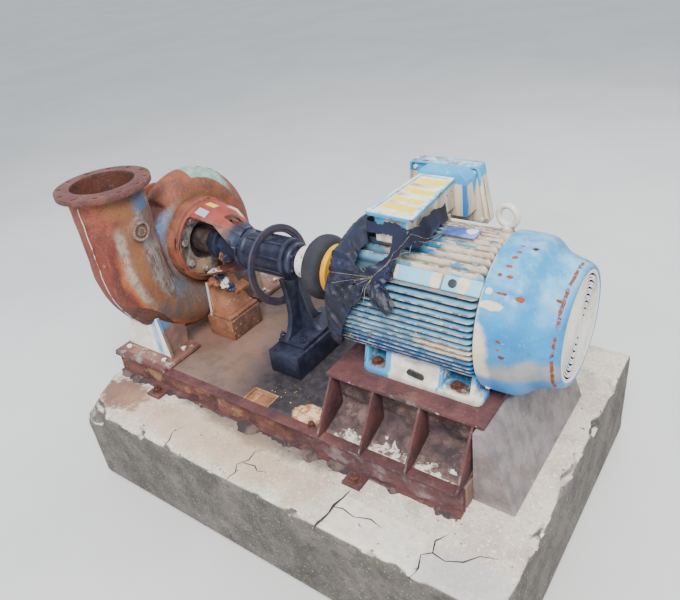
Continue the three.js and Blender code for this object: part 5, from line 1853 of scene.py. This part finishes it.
def crescent(inner, outer, start, end, steps=14):
    """A slot that is widest in its middle and closes to a point at each end."""
    middle = (inner + outer) / 2
    outline = []
    for k in range(steps + 1):
        share = k / steps
        turn = start + (end - start) * share
        radius = middle + (outer - middle) * math.sin(math.pi * min(1, max(0, share))) ** 0.35
        outline.append((radius * math.cos(turn), radius * math.sin(turn)))
    for k in range(steps - 1, 0, -1):
        share = k / steps
        turn = start + (end - start) * share
        radius = middle - (middle - inner) * math.sin(math.pi * share) ** 0.35
        outline.append((radius * math.cos(turn), radius * math.sin(turn)))
    return prism("slot", "x", 740, 770, outline)


# Boxes on top of the motor

LEAD_LID = ((4, -214), (211, -222), (178, 177), (14, 184))


def shrunk(outline, inset):
    middle = (sum(x for x, y in outline) / len(outline), sum(y for x, y in outline) / len(outline))
    result = []
    for x, y in outline:
        result.append((x - math.copysign(inset, x - middle[0]), y - math.copysign(inset, y - middle[1])))
    return result


def make_lead_box():
    refined("lead_box", 6, "lead_box", "motor_paint")
    lid = rounded(prism("lid", "z", 423, 437, LEAD_LID), 5, 3)
    tray = rounded(prism("tray", "z", 432, 447, shrunk(LEAD_LID, 20)), 4)
    carve(lid, tray)
    lip = rounded(prism("lip", "z", 416, 426, shrunk(LEAD_LID, 4)), 3, 2)
    whole = joined("lead_lid", [lid, lip])
    soften(whole, 35)
    put(whole, "lid", "lid_paint", "lead_box_lid")


def make_terminal_box():
    refined("terminal_box", 5, "terminal", "motor_paint")
    refined("terminal_lid", 7, "terminal", "motor_paint")
    screws = []
    for x, z in ((-70, 225), (250, 225), (-52, 426), (214, 426)):
        screws.append(hex_bolt((x, 276, z), (0, -1, 0), 17, 9))
    put(joined("lid_bolts", screws), "cream", "bare_steel")
    corners = ((-92, 232), (-72, 440), (-60, 448), (222, 448), (234, 441), (268, 232))
    put(tube("rolled_edge", [(x, 271, z) for x, z in corners], 7, 12), "terminal", "motor_paint")


def make_lifting_eye():
    points = []
    faces = []
    for k, (c, s) in enumerate(circle(64, 1, 0)):
        points += [((40 + out) * c, over, (40 + out) * s) for out, over in circle(16, 12, 0)]
        a, b = k * 16, ((k + 1) % 64) * 16
        faces += [(a + j, a + (j + 1) % 16, b + (j + 1) % 16, b + j) for j in range(16)]
    eye = link("eye", points, faces, 180)
    carried(eye, (433, 96, 347), Matrix.Rotation(math.radians(-12), 4, "Z"))
    stem = turned("stem", [(294.3, 0), (294.3, 21), (302, 21), (306, 15), (311, 13), (311, 0)], 32, 96,
                  axis="z", x=433)
    put(joined("lifting_eye_look", [eye, stem]), "cream", "cream_paint", "lifting_eye")


# Black plastic sheet, tied round the drive end. Places are (along, degrees towards the near side)

SHEET_CUT = (
    (-296, 140), (-250, 137), (-160, 128), (-120, 116), (-95, 104), (-72, 94), (-51, 85), (-26, 78),
             (6, 74), (24, 66),
    (50, 69), (80, 74), (127, 78), (148, 75), (157, 70), (130, 63), (104, 59), (112, 56), (134, 52),
             (112, 46), (121, 40),
    (144, 36), (186, 34), (206, 30), (200, 22), (212, 12), (206, 4), (211, -9), (187, -11), (184, 2),
             (186, 14), (183, 25),
    (172, 26.8), (120, 27.6), (60, 28.2), (14, 28.4), (-4, 20), (-24, 8), (-40, -6), (-22, -22), (-66, -38),
             (-40, -58),
    (-74, -80), (-48, -96), (-96, -112), (-120, -124), (-170, -132), (-250, -138), (-296, -140))
SHEET_HOLE = ((-60, 47), (-46, 41), (-30, 35), (0, 32), (36, 31.6), (80, 31), (116, 30.8), (108, 34),
              (90, 38), (64, 42),
              (44, 45), (24, 47.5), (-10, 50), (-40, 50))
SHEET_KNOT = (34, 55)
SHEET_PROFILE = ((-304, 112), (-290, 130), (-250, 182), (-200, 246), (-178, 276), (-150, 297),
                 (-136, 306), (480, 306))
SHEET_GIRTH = math.radians(306)
SHEET_GRAIN = 6.5
BOX_FACE, BOX_LEFT, BOX_RIGHT = 204, 14, 184


def between(points, x):
    for (x0, v0), (x1, v1) in zip(points, points[1:]):
        if x <= x1:
            return v0 + (v1 - v0) * max(0.0, x - x0) / (x1 - x0)
    return points[-1][1]


def eased(value):
    value = min(1.0, max(0.0, value))
    return value * value * (3 - 2 * value)


def larger(a, b, soft):
    return 0.5 * (a + b + math.sqrt((a - b) ** 2 + soft * soft))


def box_reach(x, angle):
    """How far out the lead box's near end and right side hold the sheet."""
    turn = math.radians(angle)
    top = 395 - 26 * eased((x - 130) / 50)
    out = min(BOX_FACE / max(0.05, math.sin(turn)), top / math.cos(turn))
    if x < BOX_LEFT:
        return out * eased((x + 75) / (BOX_LEFT + 75))
    if x > BOX_RIGHT:
        return out + (300 - out) * (x - BOX_RIGHT) / 24
    return out


def ridge(value):
    return max(0.0, 1 - 2.4 * abs(value))


def folds(x, angle):
    """How far the folds stand up from the motor: long creases run to the knot, and broad ones across."""
    s = angle * SHEET_GIRTH
    kx, ks = SHEET_KNOT[0], SHEET_KNOT[1] * SHEET_GIRTH
    away = math.hypot(x - kx, s - ks)
    heading = math.atan2(s - ks, x - kx)
    place = Vector((math.cos(heading), math.sin(heading), away * 0.0022))
    near = math.exp(-(away / 260) ** 2)
    height = 20 * ridge(noise.noise(place * 2.6)) * eased(away / 90) * near
    height += 9 * ridge(noise.noise(place * 6.5 + Vector((3, 0, 0)))) * eased(away / 60) * near
    gather = noise.noise(Vector((angle * 0.075, x * 0.003, 7.0)))
    height += 24 * ridge(gather) * eased((-110 - x) / 130) * eased((x + 330) / 70)
    height += 9 * ridge(noise.noise(Vector((angle * 0.2, x * 0.005, 1.0)))) * eased((-100 - x) / 100)
    slant = 0.8 * x + 0.6 * s
    across = 0.6 * x - 0.8 * s
    height += 13 * ridge(noise.noise(Vector((slant * 0.004, across * 0.016, 3.0))))
    height += 6 * ridge(noise.noise(Vector((slant * 0.009, across * 0.034, 5.0))))
    height += 14 * eased((angle - 84) / 20) * eased((-20 - x) / 60)
    for start, end in (((-296, 62), SHEET_KNOT), (SHEET_KNOT, (205, 18))):
        height *= 0.2 + 0.8 * eased(off_line(x, s, start, end) / 34)
    height *= 1 - 0.75 * eased((-60 - x) / 60) * eased((50 - angle) / 30)
    return height * (0.1 + 0.9 * eased((x + 300) / 150))


def off_line(x, s, start, end):
    a = Vector((start[0], start[1] * SHEET_GIRTH))
    b = Vector((end[0], end[1] * SHEET_GIRTH))
    here = Vector((x, s))
    share = max(0.0, min(1.0, (here - a).dot(b - a) / (b - a).length_squared))
    return (here - a - (b - a) * share).length


def sheet_place(x, angle, lift=0.0):
    out = between(SHEET_PROFILE, x)
    if -12 < angle < 44:
        out = larger(out, box_reach(x, angle), 16)
    out += folds(x, angle) + lift
    turn = math.radians(angle)
    return (x, -out * math.sin(turn), out * math.cos(turn))


def torn(outline, seed, reach=5.0):
    """The outline in small steps with a ragged edge, as (along, girth)."""
    points = []
    corners = [(x, angle * SHEET_GIRTH) for x, angle in outline]
    for (x0, s0), (x1, s1) in zip(corners, corners[1:] + corners[:1]):
        steps = max(1, round(math.hypot(x1 - x0, s1 - s0) / SHEET_GRAIN))
        for k in range(steps):
            x, s = x0 + (x1 - x0) * k / steps, s0 + (s1 - s0) * k / steps
            x += reach * noise.noise(Vector((x * 0.06, s * 0.06, seed)))
            s += reach * noise.noise(Vector((x * 0.06, s * 0.06, seed + 9)))
            points.append((x, s))
    return points


def inside(outline, x, s):
    within = False
    for (x0, s0), (x1, s1) in zip(outline, outline[1:] + outline[:1]):
        if (s0 > s) != (s1 > s) and x < x0 + (x1 - x0) * (s - s0) / (s1 - s0):
            within = not within
    return within


def make_sheet():
    cut, hole = torn(SHEET_CUT, 2.0), torn(SHEET_HOLE, 5.0, 4.0)
    points = [Vector(p) for p in cut + hole]
    edges = [(k, (k + 1) % len(cut)) for k in range(len(cut))]
    edges += [(len(cut) + k, len(cut) + (k + 1) % len(hole)) for k in range(len(hole))]
    row = 0
    s = -140 * SHEET_GIRTH
    while s < 140 * SHEET_GIRTH:
        x = -296 + (row % 2) * SHEET_GRAIN / 2
        while x < 215:
            points.append(Vector((x, s)))
            x += SHEET_GRAIN
        s += SHEET_GRAIN * 0.87
        row += 1
    flat, _, faces, _, _, _ = geometry.delaunay_2d_cdt(points, edges, [], 0, 1e-3)
    kept = []
    for face in faces:
        x, s = (sum(flat[k][i] for k in face) / 3 for i in (0, 1))
        if inside(cut, x, s) and not inside(hole, x, s):
            kept.append(tuple(face))
    places = [sheet_place(x, s / SHEET_GIRTH) for x, s in flat]
    sheet = link("black_sheet", places, kept, 0)
    work = bmesh.new()
    work.from_mesh(sheet.data)
    bmesh.ops.delete(work, geom=[v for v in work.verts if not v.link_faces], context="VERTS")
    work.to_mesh(sheet.data)
    work.free()
    thick = sheet.modifiers.new("thick", "SOLIDIFY")
    thick.thickness = 0.0012
    thick.offset = 1
    applied(sheet)
    soften(sheet, 32)
    put(sheet, "sheet", "plastic_sheet", "plastic_wrap")


def make_ties():
    """Thin strings pulled tight round the sheet."""
    routes = []
    routes.append([sheet_place(-290, angle, 3) for angle in range(-140, 141, 7)])
    routes.append([sheet_place(x, angle, 3) for x, angle in steps_between((-290, 60), SHEET_KNOT, 26)])
    routes.append([sheet_place(x, angle, 3) for x, angle in steps_between((-150, 66), SHEET_KNOT, 16)])
    over_fins = [(212, -75, 300), (232, -30, 310), (262, 6, 312), (300, 38, 311)]
    along_box = steps_between(SHEET_KNOT, (112, 37), 9) + steps_between((112, 37), (184, 32), 6)
    along_box += steps_between((184, 32), (204, 20), 4)
    routes.append([sheet_place(x, angle, 3.5) for x, angle in along_box] + over_fins)
    below = steps_between(SHEET_KNOT, (100, 41), 9) + steps_between((100, 41), (186, 36), 6)
    below += steps_between((186, 36), (206, 24), 4)
    under = [sheet_place(x, angle, 4.5) for x, angle in below]
    routes.append(under + [(x + 16, y, z) for x, y, z in over_fins])
    for end in ((14, 68), (26, 74), (-30, 60), (-14, 62)):
        routes.append([sheet_place(x, angle, 4) for x, angle in steps_between(SHEET_KNOT, end, 7)])
    kx, ky, kz = sheet_place(*SHEET_KNOT, 3)
    knot = [(kx + 5 * math.sin(2.1 * k), ky + 4 * math.cos(1.7 * k),
             kz + 5 * math.cos(2.3 * k)) for k in range(14)]
    strings = joined("sheet_ties", [tube("tie", route, 0.95, 6) for route in [*routes, knot]])
    put(strings, "string", "plastic_sheet")


def steps_between(start, end, count):
    (x0, a0), (x1, a1) = start, end
    return [(x0 + (x1 - x0) * k / count, a0 + (a1 - a0) * k / count) for k in range(count + 1)]


make_plinth()
make_base()
make_grout()
make_pedestal()
make_casing()
make_suction()
make_volute_feet()
make_cover()
make_bracket()
make_housing()
make_ring()
make_supports()
make_coupling()
make_motor()
make_cowl()
make_grille()
make_lead_box()
make_terminal_box()
make_lifting_eye()
make_sheet()
make_ties()


# The studio floor

floor = block("floor", -60000, 60000, -60000, 60000, PLINTH_BOTTOM - 20, PLINTH_BOTTOM)
floor.data.materials.append(PAINTS["floor"])
